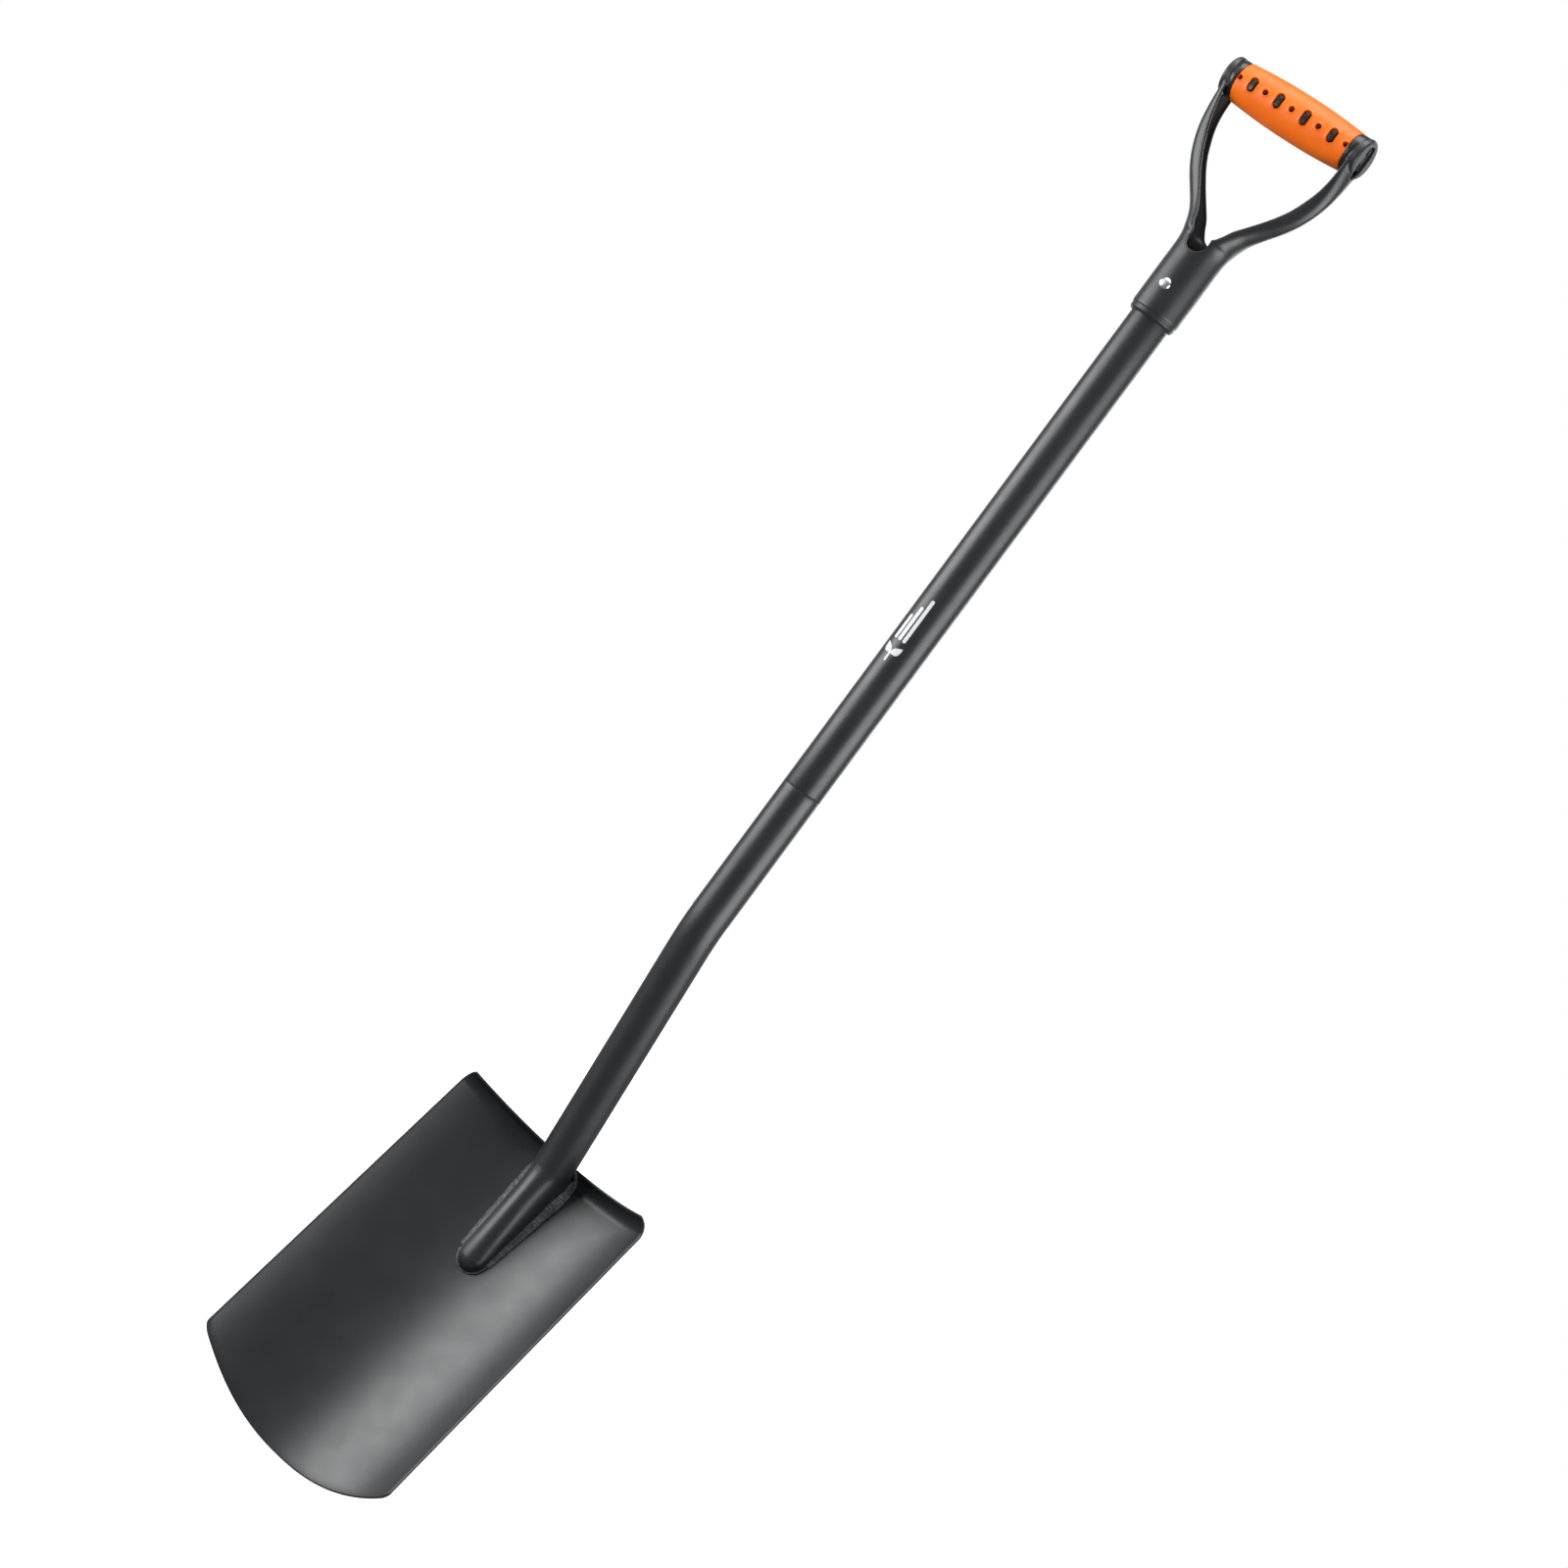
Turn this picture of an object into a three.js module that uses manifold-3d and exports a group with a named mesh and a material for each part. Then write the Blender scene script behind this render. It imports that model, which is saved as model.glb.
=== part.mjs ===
// Two-piece all-steel digging spade with a D-handle.
// The lower half is a dished blade welded to a cranked tube; the upper half is a
// straight tube with a pressed yoke and a cross grip. The halves screw together.
//
// Millimetres, +Z up. The upper tube is vertical, the dished face looks along -Y,
// the blade's tip stands on Z = 0 and the origin is under the middle of the part.
import * as THREE from 'three';
import Module from 'manifold-3d';
import { mergeVertices } from 'three/addons/utils/BufferGeometryUtils.js';

const wasm = await Module();
wasm.setup();

// ---- driving dimensions -----------------------------------------------------

const JOINT_HEIGHT = 588.345;    // plane where the two halves meet
const TUBE_AXIS_Y = 6.258;       // upper tube axis, behind the origin

const TUBE_RADIUS = 15;
const TUBE_WALL = 1.5;
const GAP = 0.3;                 // clearance left between neighbouring pieces
const PAST = 2;                  // how far cutters run past what they cut
const AROUND = 24;               // facets round the tubes

const BEND_DROP = 122.4;         // joint plane down to the bend
const BEND_RADIUS = 150;
const CRANK_ANGLE = 12.2;        // lower tube, degrees back from the upper tube
const CRANK_RUN = 208.6;         // bend down to the tread
const TREAD_STANDOFF = 18.9;     // crank axis to the blade's face, square to the axis

const BLADE_PITCH = 23.2;        // blade, degrees forward of the upper tube
const BLADE_THICKNESS = 2;
const DISH_RADIUS = 137;
const HALF_WIDTH_TOP = 91;
const HALF_WIDTH_BOTTOM = 93.5;
const SIDE_LENGTH = 261;         // blade's head line down to the bottom corners
const EDGE_BULGE = 27.6;         // cutting edge beyond the bottom corners
const CORNER_CUT = 4;            // rounding of the bottom corners
const CORNER_START = 0.94;       // where it starts, as a share of the half width
const BULGE_POWER = 2.3;         // shape of the cutting edge's curve
const TREAD_RADIUS = 11;
const TREAD_DROP = 2.5;          // top of the tread below the head line
const TREAD_TURN = 80;           // degrees the tread is curled forward
const TREAD_LIP = 2;             // straight lip after the curl

const FOOT_CLEARANCE = 1.2;      // underside of the crushed foot above the blade
const WELD_LEG_LEFT = 6;         // side weld widths at the tread
const WELD_LEG_RIGHT = 9;
const WELD_LEG_TOE = 3;          // weld width round the toe
const WELD_START = 12;           // side welds, distances down the blade
const WELD_END = 92;
const WELD_ROOT = 5;             // beads reach this far in under the foot
const WELD_TOE_EDGE = 0.9;       // height of a bead's outer edge
const TOE_CENTRE = 95;           // the toe weld runs round this point
const TOE_HALF_WIDTH = 11.4;
const TOE_LENGTH = 10.6;

const THREAD_PITCH = 2.5;
const THREAD_LENGTH = 24;
const STUD_CREST_RADIUS = 11;
const STUD_ROOT_RADIUS = 9.6;
const THREAD_AROUND = 16;        // facets round each turn of thread
const THREAD_CLEARANCE = 0.45;
const THREAD_LEAD = 1.4;         // depth of the chamfer at the sleeve's mouth
const SLEEVE_LENGTH = 30;        // threaded sleeve inside the lower tube
const SHANK_LENGTH = 30;         // plain shank inside the upper tube
const WASHER_THICKNESS = 1;
const PLUG_RADIUS = 3;
const PLUG_DEPTH = 15;           // plug welds, distance from the joint plane

const SOCKET_BOTTOM = 403;       // heights above the joint plane from here on
const SOCKET_RADIUS = 18.5;
const SHEET = 2.2;               // yoke sheet thickness
const TUBE_TOP = 448;
const RIVET_HEIGHT = 428.2;
const RIVET_RADIUS = 3;
const RIVET_HEAD_RADIUS = 4.4;
const RIVET_HEAD_HEIGHT = 2.4;
const FRONT_NOTCH = 456.7;       // bottom of the yoke's front notch
const NOTCH_RADIUS = 8;
const SOCKET_TOP = 444;          // the prongs take over inside this height
const GRIP_HEIGHT = 572.6;
const GRIP_LEAN = 4.2;           // grip axis forward of the tube axis

const EYE_RADIUS = 15;
const EYE_OUTER = 58.8;          // half the width across the handle
const EYE_INNER = 54.6;
const EYE_START = 46;            // inner end of an eye's skirt before it is trimmed
const EYE_WALL = 1.6;
const SKIRT_DEPTH = 6.3;         // eye's skirt at the grip axis, from the eye's face
const SKIRT_SLANT = 10;          // degrees the skirt's edge leans, deeper below
const RECESS_DEPTH = 2.6;
const RECESS_HALF = 5.2;         // half the recess's width
const RECESS_STRAIGHT = 4.6;     // half its straight length
const BAR_RADIUS = 4;
const BAR_HEAD_RADIUS = 4.9;
const BAR_HEAD_HEIGHT = 1.8;
const SLEEVE_HALF = 47.9;        // half the grip sleeve's length
const SLEEVE_END_RADIUS = 14.9;
const SLEEVE_MID_RADIUS = 17.1;
const SLEEVE_FLAT = 6;           // half the sleeve's even middle
const CORE_RADIUS = 12.6;
const SLOT_PITCH = 23.1;
const SLOT_HALF = 3.1;           // half the width of a slot
const SLOT_STRAIGHT = 2.9;       // half its straight length
const GRIP_AROUND = 24;          // facets round the grip

const toRadians = Math.PI / 180;

// ---- mesh helpers -----------------------------------------------------------

const vec = (x, y, z) => new THREE.Vector3(x, y, z);

// Six times the signed volume of an indexed triangle list.
function signedVolume(points, index) {
  let total = 0;
  for (let i = 0; i < index.length; i += 3) {
    const a = points[index[i]];
    const b = points[index[i + 1]];
    const c = points[index[i + 2]];
    total += a.dot(b.clone().cross(c));
  }
  return total;
}

// Closed geometry from points and triangles, turned so its faces point outward.
function solidFrom(points, index) {
  if (signedVolume(points, index) < 0) {
    index.reverse();
  }
  const geometry = new THREE.BufferGeometry();
  geometry.setFromPoints(points);
  geometry.setIndex(index);
  return geometry;
}

// Skin over equal rings of points, closed at both ends with a fan.
function skinRings(rings) {
  const count = rings[0].length;
  const points = rings.flat();
  const index = [];
  for (let r = 0; r < rings.length - 1; r++) {
    const from = r * count;
    const to = from + count;
    for (let k = 0; k < count; k++) {
      const next = (k + 1) % count;
      index.push(from + k, from + next, to + next);
      index.push(from + k, to + next, to + k);
    }
  }
  closeEnd(points, index, rings[0], 0, true);
  closeEnd(points, index, rings[rings.length - 1], (rings.length - 1) * count, false);
  return solidFrom(points, index);
}

function closeEnd(points, index, ring, first, isStart) {
  const middle = ring.reduce((sum, p) => sum.add(p), vec(0, 0, 0)).divideScalar(ring.length);
  const hub = points.push(middle) - 1;
  for (let k = 0; k < ring.length; k++) {
    const next = (k + 1) % ring.length;
    if (isStart) {
      index.push(hub, first + next, first + k);
    } else {
      index.push(hub, first + k, first + next);
    }
  }
}

// Same geometry with shared corners only: no normals, no texture coordinates.
function bare(geometry) {
  const plain = geometry.clone();
  plain.deleteAttribute('normal');
  plain.deleteAttribute('uv');
  return mergeVertices(plain, 1e-4);
}

function toManifold(geometry) {
  const plain = bare(geometry);
  return new wasm.Manifold(new wasm.Mesh({
    numProp: 3,
    vertProperties: new Float32Array(plain.attributes.position.array),
    triVerts: new Uint32Array(plain.index.array),
  }));
}

function fromManifold(body) {
  const mesh = body.getMesh();
  const geometry = new THREE.BufferGeometry();
  geometry.setAttribute('position', new THREE.BufferAttribute(mesh.vertProperties, 3));
  geometry.setIndex(new THREE.BufferAttribute(mesh.triVerts, 1));
  return geometry;
}

// First geometry joined with the added ones and cut by the removed ones.
function combine(first, added, removed) {
  let body = toManifold(first);
  for (const geometry of added) {
    body = body.add(toManifold(geometry));
  }
  for (const geometry of removed) {
    body = body.subtract(toManifold(geometry));
  }
  return fromManifold(body);
}

// Turned shape about Z from a closed outline of [radius, height] pairs.
function turned(outline, segments = AROUND) {
  const profile = outline.map(([radius, height]) => new THREE.Vector2(radius, height));
  const touchesAxis = profile[0].x === 0;
  if (!touchesAxis) {
    profile.push(profile[0].clone());
  }
  const geometry = new THREE.LatheGeometry(profile, segments);
  geometry.rotateX(Math.PI / 2);
  return upright(geometry);
}

// Same turned shape laid along X, with a facet facing straight down.
function turnedAcross(outline) {
  const geometry = turned(outline, GRIP_AROUND);
  geometry.rotateZ(Math.PI / GRIP_AROUND);
  geometry.rotateY(Math.PI / 2);
  return geometry;
}

// Lathe output with its faces outward whichever way the outline ran.
function upright(geometry) {
  const merged = bare(geometry);
  const position = merged.attributes.position;
  const points = [];
  for (let i = 0; i < position.count; i++) {
    points.push(new THREE.Vector3().fromBufferAttribute(position, i));
  }
  const index = [];
  const source = merged.index.array;
  for (let i = 0; i < source.length; i += 3) {
    const [a, b, c] = [source[i], source[i + 1], source[i + 2]];
    if (a !== b && b !== c && a !== c) {
      index.push(a, b, c);
    }
  }
  return solidFrom(points, index);
}

// Round bar between two points.
function rod(from, to, radius, segments = AROUND) {
  const length = from.distanceTo(to);
  const geometry = new THREE.CylinderGeometry(radius, radius, length, segments);
  const turn = new THREE.Quaternion().setFromUnitVectors(
    vec(0, 1, 0), to.clone().sub(from).normalize());
  geometry.applyQuaternion(turn);
  const middle = from.clone().add(to).multiplyScalar(0.5);
  geometry.translate(middle.x, middle.y, middle.z);
  return geometry;
}

// ---- blade frame --------------------------------------------------------------
// Side-view directions, written for a tool whose joint plane is z = 0 and whose
// upper tube is on the Z axis. "along" runs down the blade, "out" leaves its face.

const crankAngle = CRANK_ANGLE * toRadians;
const pitchAngle = BLADE_PITCH * toRadians;
const crankDown = vec(0, Math.sin(crankAngle), -Math.cos(crankAngle));
const crankOut = vec(0, -Math.cos(crankAngle), -Math.sin(crankAngle));
const along = vec(0, -Math.sin(pitchAngle), -Math.cos(pitchAngle));
const out = vec(0, -Math.cos(pitchAngle), Math.sin(pitchAngle));

const bendPoint = vec(0, 0, -BEND_DROP);
const treadOrigin = bendPoint.clone()
  .addScaledVector(crankDown, CRANK_RUN)
  .addScaledVector(crankOut, -TREAD_STANDOFF);

// Point given by its place across the blade, down the blade and off its flat.
function bladePoint(x, s, h) {
  return treadOrigin.clone()
    .add(vec(x, 0, 0))
    .addScaledVector(along, s)
    .addScaledVector(out, h);
}

// Point and lean of the dished face at a place across the blade.
function dishAt(x) {
  const lean = Math.asin(x / DISH_RADIUS);
  return { lean, rise: DISH_RADIUS * (1 - Math.cos(lean)) };
}

// ---- blade ----------------------------------------------------------------------

function halfWidthAt(s) {
  const share = Math.min(Math.max(s / SIDE_LENGTH, 0), 1);
  return HALF_WIDTH_TOP + (HALF_WIDTH_BOTTOM - HALF_WIDTH_TOP) * share;
}

// Length of the blade down the line at t, where t runs -1 to 1 across it.
function bladeLengthAt(t) {
  const reach = Math.abs(t);
  const bulge = EDGE_BULGE * (1 - reach ** BULGE_POWER);
  const into = Math.max(0, (reach - CORNER_START) / (1 - CORNER_START));
  return SIDE_LENGTH + bulge - CORNER_CUT * (1 - Math.sqrt(1 - into * into));
}

// Rows of the blade face from the tread's lip down to the cutting edge. Each row
// gives its place down the blade, the curl angle and the extra lip length.
function bladeRows(t) {
  const rows = [];
  const curlSteps = 5;
  const turn = TREAD_TURN * toRadians;
  const curlStart = TREAD_DROP + TREAD_RADIUS;
  rows.push({ s: curlStart, curl: turn, lip: TREAD_LIP });
  for (let i = 0; i <= curlSteps; i++) {
    rows.push({ s: curlStart, curl: turn * (1 - i / curlSteps), lip: 0 });
  }
  const bodySteps = 4;
  const length = bladeLengthAt(t);
  for (let i = 1; i <= bodySteps; i++) {
    const s = curlStart + (length - curlStart) * i / bodySteps;
    rows.push({ s, curl: 0, lip: 0 });
  }
  return rows;
}

// Point of the blade sheet, "depth" behind its dished face.
function sheetPoint(t, row, depth) {
  const x = t * halfWidthAt(row.s);
  const { lean, rise } = dishAt(x);
  const inward = out.clone().multiplyScalar(Math.cos(lean)).add(vec(-Math.sin(lean), 0, 0));
  const up = along.clone().negate();
  const sin = Math.sin(row.curl);
  const cos = Math.cos(row.curl);
  const point = bladePoint(x, row.s, rise);
  point.addScaledVector(up, TREAD_RADIUS * sin + row.lip * cos);
  point.addScaledVector(inward, TREAD_RADIUS * (1 - cos) + row.lip * sin);
  const face = inward.multiplyScalar(cos).addScaledVector(up, -sin);
  return point.addScaledVector(face, -depth);
}

// Sheet of the blade between two depths, as one closed skin of section rings.
function bladeSheet(nearDepth, farDepth) {
  const columns = 20;
  const rings = [];
  for (let c = 0; c <= columns; c++) {
    const t = -1 + 2 * c / columns;
    const rows = bladeRows(t);
    const near = rows.map((row) => sheetPoint(t, row, nearDepth));
    const far = rows.map((row) => sheetPoint(t, row, farDepth)).reverse();
    rings.push([...near, ...far]);
  }
  return skinRings(rings);
}

// ---- lower tube with its crushed foot ---------------------------------------------

// Ring stations of the foot in the blade frame: the ring's underside [s, h], its
// crown [s, h], half width, and how far it has changed from round to flat-bottomed.
const footStations = [
  { under: [2, 3.53], crown: [19.4, 28.0], half: 15, flat: 0 },
  { under: [8, FOOT_CLEARANCE], crown: [25, 26.2], half: 15, flat: 0.35 },
  { under: [20, FOOT_CLEARANCE], crown: [35, 23.9], half: 14.8, flat: 0.8 },
  { under: [35, FOOT_CLEARANCE], crown: [48, 21.2], half: 14.2, flat: 1 },
  { under: [55, FOOT_CLEARANCE], crown: [64, 17.8], half: 13.5, flat: 1 },
  { under: [75, FOOT_CLEARANCE], crown: [81, 14.2], half: 12.7, flat: 1 },
  { under: [93, FOOT_CLEARANCE], crown: [96, 10.9], half: 11.9, flat: 1 },
  { under: [100, FOOT_CLEARANCE], crown: [101.3, 9.2], half: 9.8, flat: 1 },
  { under: [104.5, FOOT_CLEARANCE], crown: [105, 6.4], half: 6.4, flat: 1 },
  { under: [107, FOOT_CLEARANCE], crown: [107, 3], half: 2.5, flat: 1 },
];

// One ring of the foot, grown outward by "extra".
function footRing(station, extra) {
  const under = bladePoint(0, station.under[0], station.under[1]);
  const crown = bladePoint(0, station.crown[0], station.crown[1]);
  const rise = crown.clone().sub(under);
  const height = rise.length() + 2 * extra;
  rise.normalize();
  under.addScaledVector(rise, -extra);
  const half = station.half + extra;
  const ring = [];
  for (let k = 0; k < AROUND; k++) {
    const angle = 2 * Math.PI * k / AROUND;
    const round = height / 2 * (1 + Math.sin(angle));
    const arched = height * Math.max(0, Math.sin(angle));
    const lift = round + (arched - round) * station.flat;
    ring.push(under.clone().addScaledVector(rise, lift).add(vec(half * Math.cos(angle), 0, 0)));
  }
  return ring;
}

// Ring square to the tube at a point, leaning by "tilt" radians.
function tubeRing(centre, tilt, radius) {
  const front = vec(0, -Math.cos(tilt), -Math.sin(tilt));
  const ring = [];
  for (let k = 0; k < AROUND; k++) {
    const angle = 2 * Math.PI * k / AROUND;
    ring.push(centre.clone()
      .add(vec(radius * Math.cos(angle), 0, 0))
      .addScaledVector(front, radius * Math.sin(angle)));
  }
  return ring;
}

// Rings of the lower tube from its mouth to the end of the bend.
function crankRings(radius, top) {
  const rings = [tubeRing(vec(0, 0, top), 0, radius)];
  const steps = 4;
  const centreY = BEND_RADIUS;
  const startZ = -BEND_DROP + BEND_RADIUS * Math.tan(crankAngle / 2);
  for (let i = 0; i <= steps; i++) {
    const tilt = crankAngle * i / steps;
    const y = centreY - BEND_RADIUS * Math.cos(tilt);
    const z = startZ - BEND_RADIUS * Math.sin(tilt);
    rings.push(tubeRing(vec(0, y, z), tilt, radius));
  }
  return rings;
}

// Solid outline of the lower tube, grown outward by "extra".
function lowerTubeEnvelope(extra) {
  const mouth = -WASHER_THICKNESS / 2;
  const rings = crankRings(TUBE_RADIUS + extra, mouth);
  for (const station of footStations) {
    rings.push(footRing(station, extra));
  }
  return skinRings(rings);
}

function lowerTube() {
  const bore = crankRings(TUBE_RADIUS - TUBE_WALL, 5);
  bore.push(footRing(footStations[0], -TUBE_WALL));
  const holes = plugPlaces(-PLUG_DEPTH).map(([from, to]) => rod(from, to, PLUG_RADIUS + GAP));
  return combine(lowerTubeEnvelope(0), [], [skinRings(bore), ...holes]);
}

// ---- welds on the blade -------------------------------------------------------------

// Half width of the foot where it stands on the blade.
function footHalfWidth(s) {
  const stations = footStations;
  for (let i = 1; i < stations.length; i++) {
    const a = stations[i - 1];
    const b = stations[i];
    if (s <= b.under[0]) {
      const share = (s - a.under[0]) / (b.under[0] - a.under[0]);
      return a.half + (b.half - a.half) * Math.max(0, share);
    }
  }
  return stations[stations.length - 1].half;
}

// Bead section standing on the blade beside the foot. "x, s" is the foot's edge
// and "nx, ns" the way the bead spreads from it.
function beadRing(x, s, nx, ns, leg) {
  const section = [
    [-WELD_ROOT, -PAST],
    [leg, -PAST],
    [leg, WELD_TOE_EDGE],
    [leg * 0.45, leg * 0.55],
    [-WELD_ROOT, leg * 1.1],
  ];
  return section.map(([spread, h]) => {
    const px = x + nx * spread;
    const ps = s + ns * spread;
    return bladePoint(px, ps, h + dishAt(px).rise);
  });
}

function trimmedBead(rings) {
  const beadBody = skinRings(rings);
  const foot = lowerTubeEnvelope(GAP);
  const sheet = bladeSheet(-GAP, BLADE_THICKNESS + PAST);
  return combine(beadBody, [], [foot, sheet]);
}

function sideWeld(side, topLeg) {
  const steps = 8;
  const rings = [];
  for (let i = 0; i <= steps; i++) {
    const share = i / steps;
    const s = WELD_START + (WELD_END - WELD_START) * share;
    const leg = topLeg + (WELD_LEG_TOE - topLeg) * share;
    rings.push(beadRing(side * footHalfWidth(s), s, side, 0, leg));
  }
  return trimmedBead(rings);
}

function toeWeld() {
  const rings = [];
  const steps = 10;
  for (let i = 0; i <= steps; i++) {
    const angle = Math.PI * i / steps;
    const x = TOE_HALF_WIDTH * Math.cos(angle);
    const s = TOE_CENTRE + TOE_LENGTH * Math.sin(angle);
    rings.push(beadRing(x, s, Math.cos(angle), Math.sin(angle), WELD_LEG_TOE));
  }
  return trimmedBead(rings);
}

// ---- screwed joint ---------------------------------------------------------------------

// Right-hand threaded rod. The four corners of each thread turn sit at the given
// shares of the pitch, counted from the joint plane so that mating threads agree.
// It runs past both ends so that it can be trimmed.
function threadedRod(rootRadius, crestRadius, shares, bottom, top) {
  const corners = shares.length;
  const turns = Math.ceil((top - bottom) / THREAD_PITCH) + 4;
  const start = THREAD_PITCH * (Math.floor(bottom / THREAD_PITCH) - 2);
  const points = [];
  const radii = [rootRadius, crestRadius, crestRadius, rootRadius];
  const levels = turns * corners;
  const at = (k, level) => {
    if (k === THREAD_AROUND) {
      return at(0, level + corners);
    }
    return level * THREAD_AROUND + k;
  };
  for (let level = 0; level <= levels + corners; level++) {
    const turn = Math.floor(level / corners);
    const corner = level % corners;
    for (let k = 0; k < THREAD_AROUND; k++) {
      const angle = 2 * Math.PI * k / THREAD_AROUND;
      const z = start + THREAD_PITCH * (turn + shares[corner] + k / THREAD_AROUND);
      const radius = radii[corner];
      points.push(vec(radius * Math.cos(angle), radius * Math.sin(angle), z));
    }
  }
  const index = [];
  for (let level = 0; level < levels; level++) {
    for (let k = 0; k < THREAD_AROUND; k++) {
      index.push(at(k, level), at(k + 1, level), at(k + 1, level + 1));
      index.push(at(k, level), at(k + 1, level + 1), at(k, level + 1));
    }
  }
  closeThreadEnd(points, index, at, 0, corners, start, true);
  closeThreadEnd(points, index, at, levels, corners, start + THREAD_PITCH * turns, false);
  return upright(solidFrom(points, index));
}

// Fan over one end of the threaded rod: once round the helix, then down its step.
function closeThreadEnd(points, index, at, level, corners, height, isStart) {
  const rim = [];
  for (let k = 0; k <= THREAD_AROUND; k++) {
    rim.push(at(k, level));
  }
  for (let step = corners - 1; step > 0; step--) {
    rim.push(at(0, level + step));
  }
  const hub = points.push(vec(0, 0, height + THREAD_PITCH / 2)) - 1;
  for (let i = 0; i < rim.length; i++) {
    const next = rim[(i + 1) % rim.length];
    if (isStart) {
      index.push(hub, next, rim[i]);
    } else {
      index.push(hub, rim[i], next);
    }
  }
}

// Solid that keeps only what lies between two heights when it is cut away.
function slabsOutside(bottom, top) {
  const reach = 60;
  const below = new THREE.BoxGeometry(reach, reach, reach);
  below.translate(0, 0, bottom - reach / 2);
  const above = new THREE.BoxGeometry(reach, reach, reach);
  above.translate(0, 0, top + reach / 2);
  return [below, above];
}

function threadStud() {
  const shares = [0, 0.3, 0.45, 0.75];
  const bottom = -THREAD_LENGTH;
  const top = 4;
  const shankRadius = TUBE_RADIUS - TUBE_WALL - GAP;
  const threaded = threadedRod(STUD_ROOT_RADIUS, STUD_CREST_RADIUS, shares, bottom, top);
  const trimmed = combine(threaded, [], slabsOutside(bottom, top));
  const shank = turned([
    [0, WASHER_THICKNESS / 2],
    [shankRadius, WASHER_THICKNESS / 2],
    [shankRadius, SHANK_LENGTH - 1.5],
    [shankRadius - 1.5, SHANK_LENGTH],
    [0, SHANK_LENGTH],
  ]);
  return combine(trimmed, [shank], []);
}

function threadSocket() {
  const sleeveRadius = TUBE_RADIUS - TUBE_WALL - GAP;
  const mouth = -WASHER_THICKNESS / 2;
  const shares = [-0.13, 0.2, 0.55, 0.88];
  const rootRadius = STUD_ROOT_RADIUS + THREAD_CLEARANCE;
  const crestRadius = STUD_CREST_RADIUS + THREAD_CLEARANCE;
  const bottom = mouth - SLEEVE_LENGTH;
  const thread = threadedRod(rootRadius, crestRadius, shares, bottom - PAST, PAST);
  const sleeve = turned([
    [0, bottom],
    [sleeveRadius, bottom],
    [sleeveRadius, mouth],
    [0, mouth],
  ]);
  const leadIn = turned([
    [0, mouth - THREAD_LEAD],
    [rootRadius, mouth - THREAD_LEAD],
    [crestRadius + 0.4, mouth + 0.2],
    [0, mouth + 0.2],
  ]);
  return combine(sleeve, [], [thread, leadIn]);
}

function jointWasher() {
  const half = WASHER_THICKNESS / 2 - 0.02;
  const inner = STUD_CREST_RADIUS + 2 * GAP;
  const outer = TUBE_RADIUS - 0.2;
  return turned([
    [inner, -half],
    [outer, -half],
    [outer, half],
    [inner, half],
  ]);
}

// Ends of the two radial holes through a tube wall, behind the tool.
function plugPlaces(height) {
  return [135, 45].map((degrees) => {
    const direction = vec(Math.cos(degrees * toRadians), Math.sin(degrees * toRadians), 0);
    const from = direction.clone().multiplyScalar(TUBE_RADIUS - TUBE_WALL - PAST);
    const to = direction.clone().multiplyScalar(TUBE_RADIUS + PAST);
    from.z = height;
    to.z = height;
    return [from, to];
  });
}

// Weld metal filling one radial hole, flush with the tube.
function plugWeld(height, place) {
  const [from, to] = plugPlaces(height)[place];
  const direction = to.clone().sub(from).normalize();
  const inner = direction.clone().multiplyScalar(TUBE_RADIUS - TUBE_WALL);
  const outer = direction.clone().multiplyScalar(TUBE_RADIUS - 0.1);
  inner.z = height;
  outer.z = height;
  return rod(inner, outer, PLUG_RADIUS);
}

// ---- upper tube ----------------------------------------------------------------------------

function upperTube() {
  const bottom = WASHER_THICKNESS / 2;
  const bore = TUBE_RADIUS - TUBE_WALL;
  const tube = turned([
    [bore, bottom],
    [TUBE_RADIUS, bottom],
    [TUBE_RADIUS, TUBE_TOP],
    [bore, TUBE_TOP],
  ]);
  const plugHoles = plugPlaces(PLUG_DEPTH).map(([from, to]) => rod(from, to, PLUG_RADIUS + GAP));
  const rivetHole = rod(
    vec(0, -30, RIVET_HEIGHT), vec(0, 30, RIVET_HEIGHT), RIVET_RADIUS + GAP);
  return combine(tube, [], [...plugHoles, rivetHole]);
}

// ---- yoke ------------------------------------------------------------------------------------

// Stations up one prong: [x, z] of its outer wall, [x, z] of its open edge, and
// half its front-to-back width.
const prongStations = [
  { wall: [SOCKET_RADIUS, 442], edge: [-0.1, 442], half: SOCKET_RADIUS },
  { wall: [SOCKET_RADIUS, 458], edge: [-0.1, 460], half: SOCKET_RADIUS },
  { wall: [19.4, 465.5], edge: [0.6, 467.4], half: 18.2 },
  { wall: [20.2, 470], edge: [8, 470.2], half: 17 },
  { wall: [21.6, 474.4], edge: [12, 475.6], half: 15.4 },
  { wall: [25, 481], edge: [15.4, 483], half: 13 },
  { wall: [29.4, 487], edge: [20.6, 490.4], half: 10.8 },
  { wall: [34.3, 493], edge: [26.8, 498.6], half: 9.2 },
  { wall: [42.3, 503], edge: [33.8, 508.4], half: 8 },
  { wall: [48.6, 513], edge: [39.4, 517.6], half: 7.6 },
  { wall: [53.3, 523.4], edge: [43.6, 526.8], half: 7.8 },
  { wall: [56.4, 533.8], edge: [47.2, 535.8], half: 8.6 },
  { wall: [58, 544.2], edge: [49.8, 545.4], half: 10 },
  { wall: [58.6, 554.4], edge: [51.4, 555], half: 12 },
  { wall: [58.8, 564.6], edge: [52.4, 564.6], half: 14 },
];

// The prongs lean forward from the notch up to the grip axis.
function leanAt(z) {
  const share = Math.min(Math.max((z - FRONT_NOTCH) / (GRIP_HEIGHT - FRONT_NOTCH), 0), 1);
  return -GRIP_LEAN * share * share * (3 - 2 * share);
}

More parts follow.
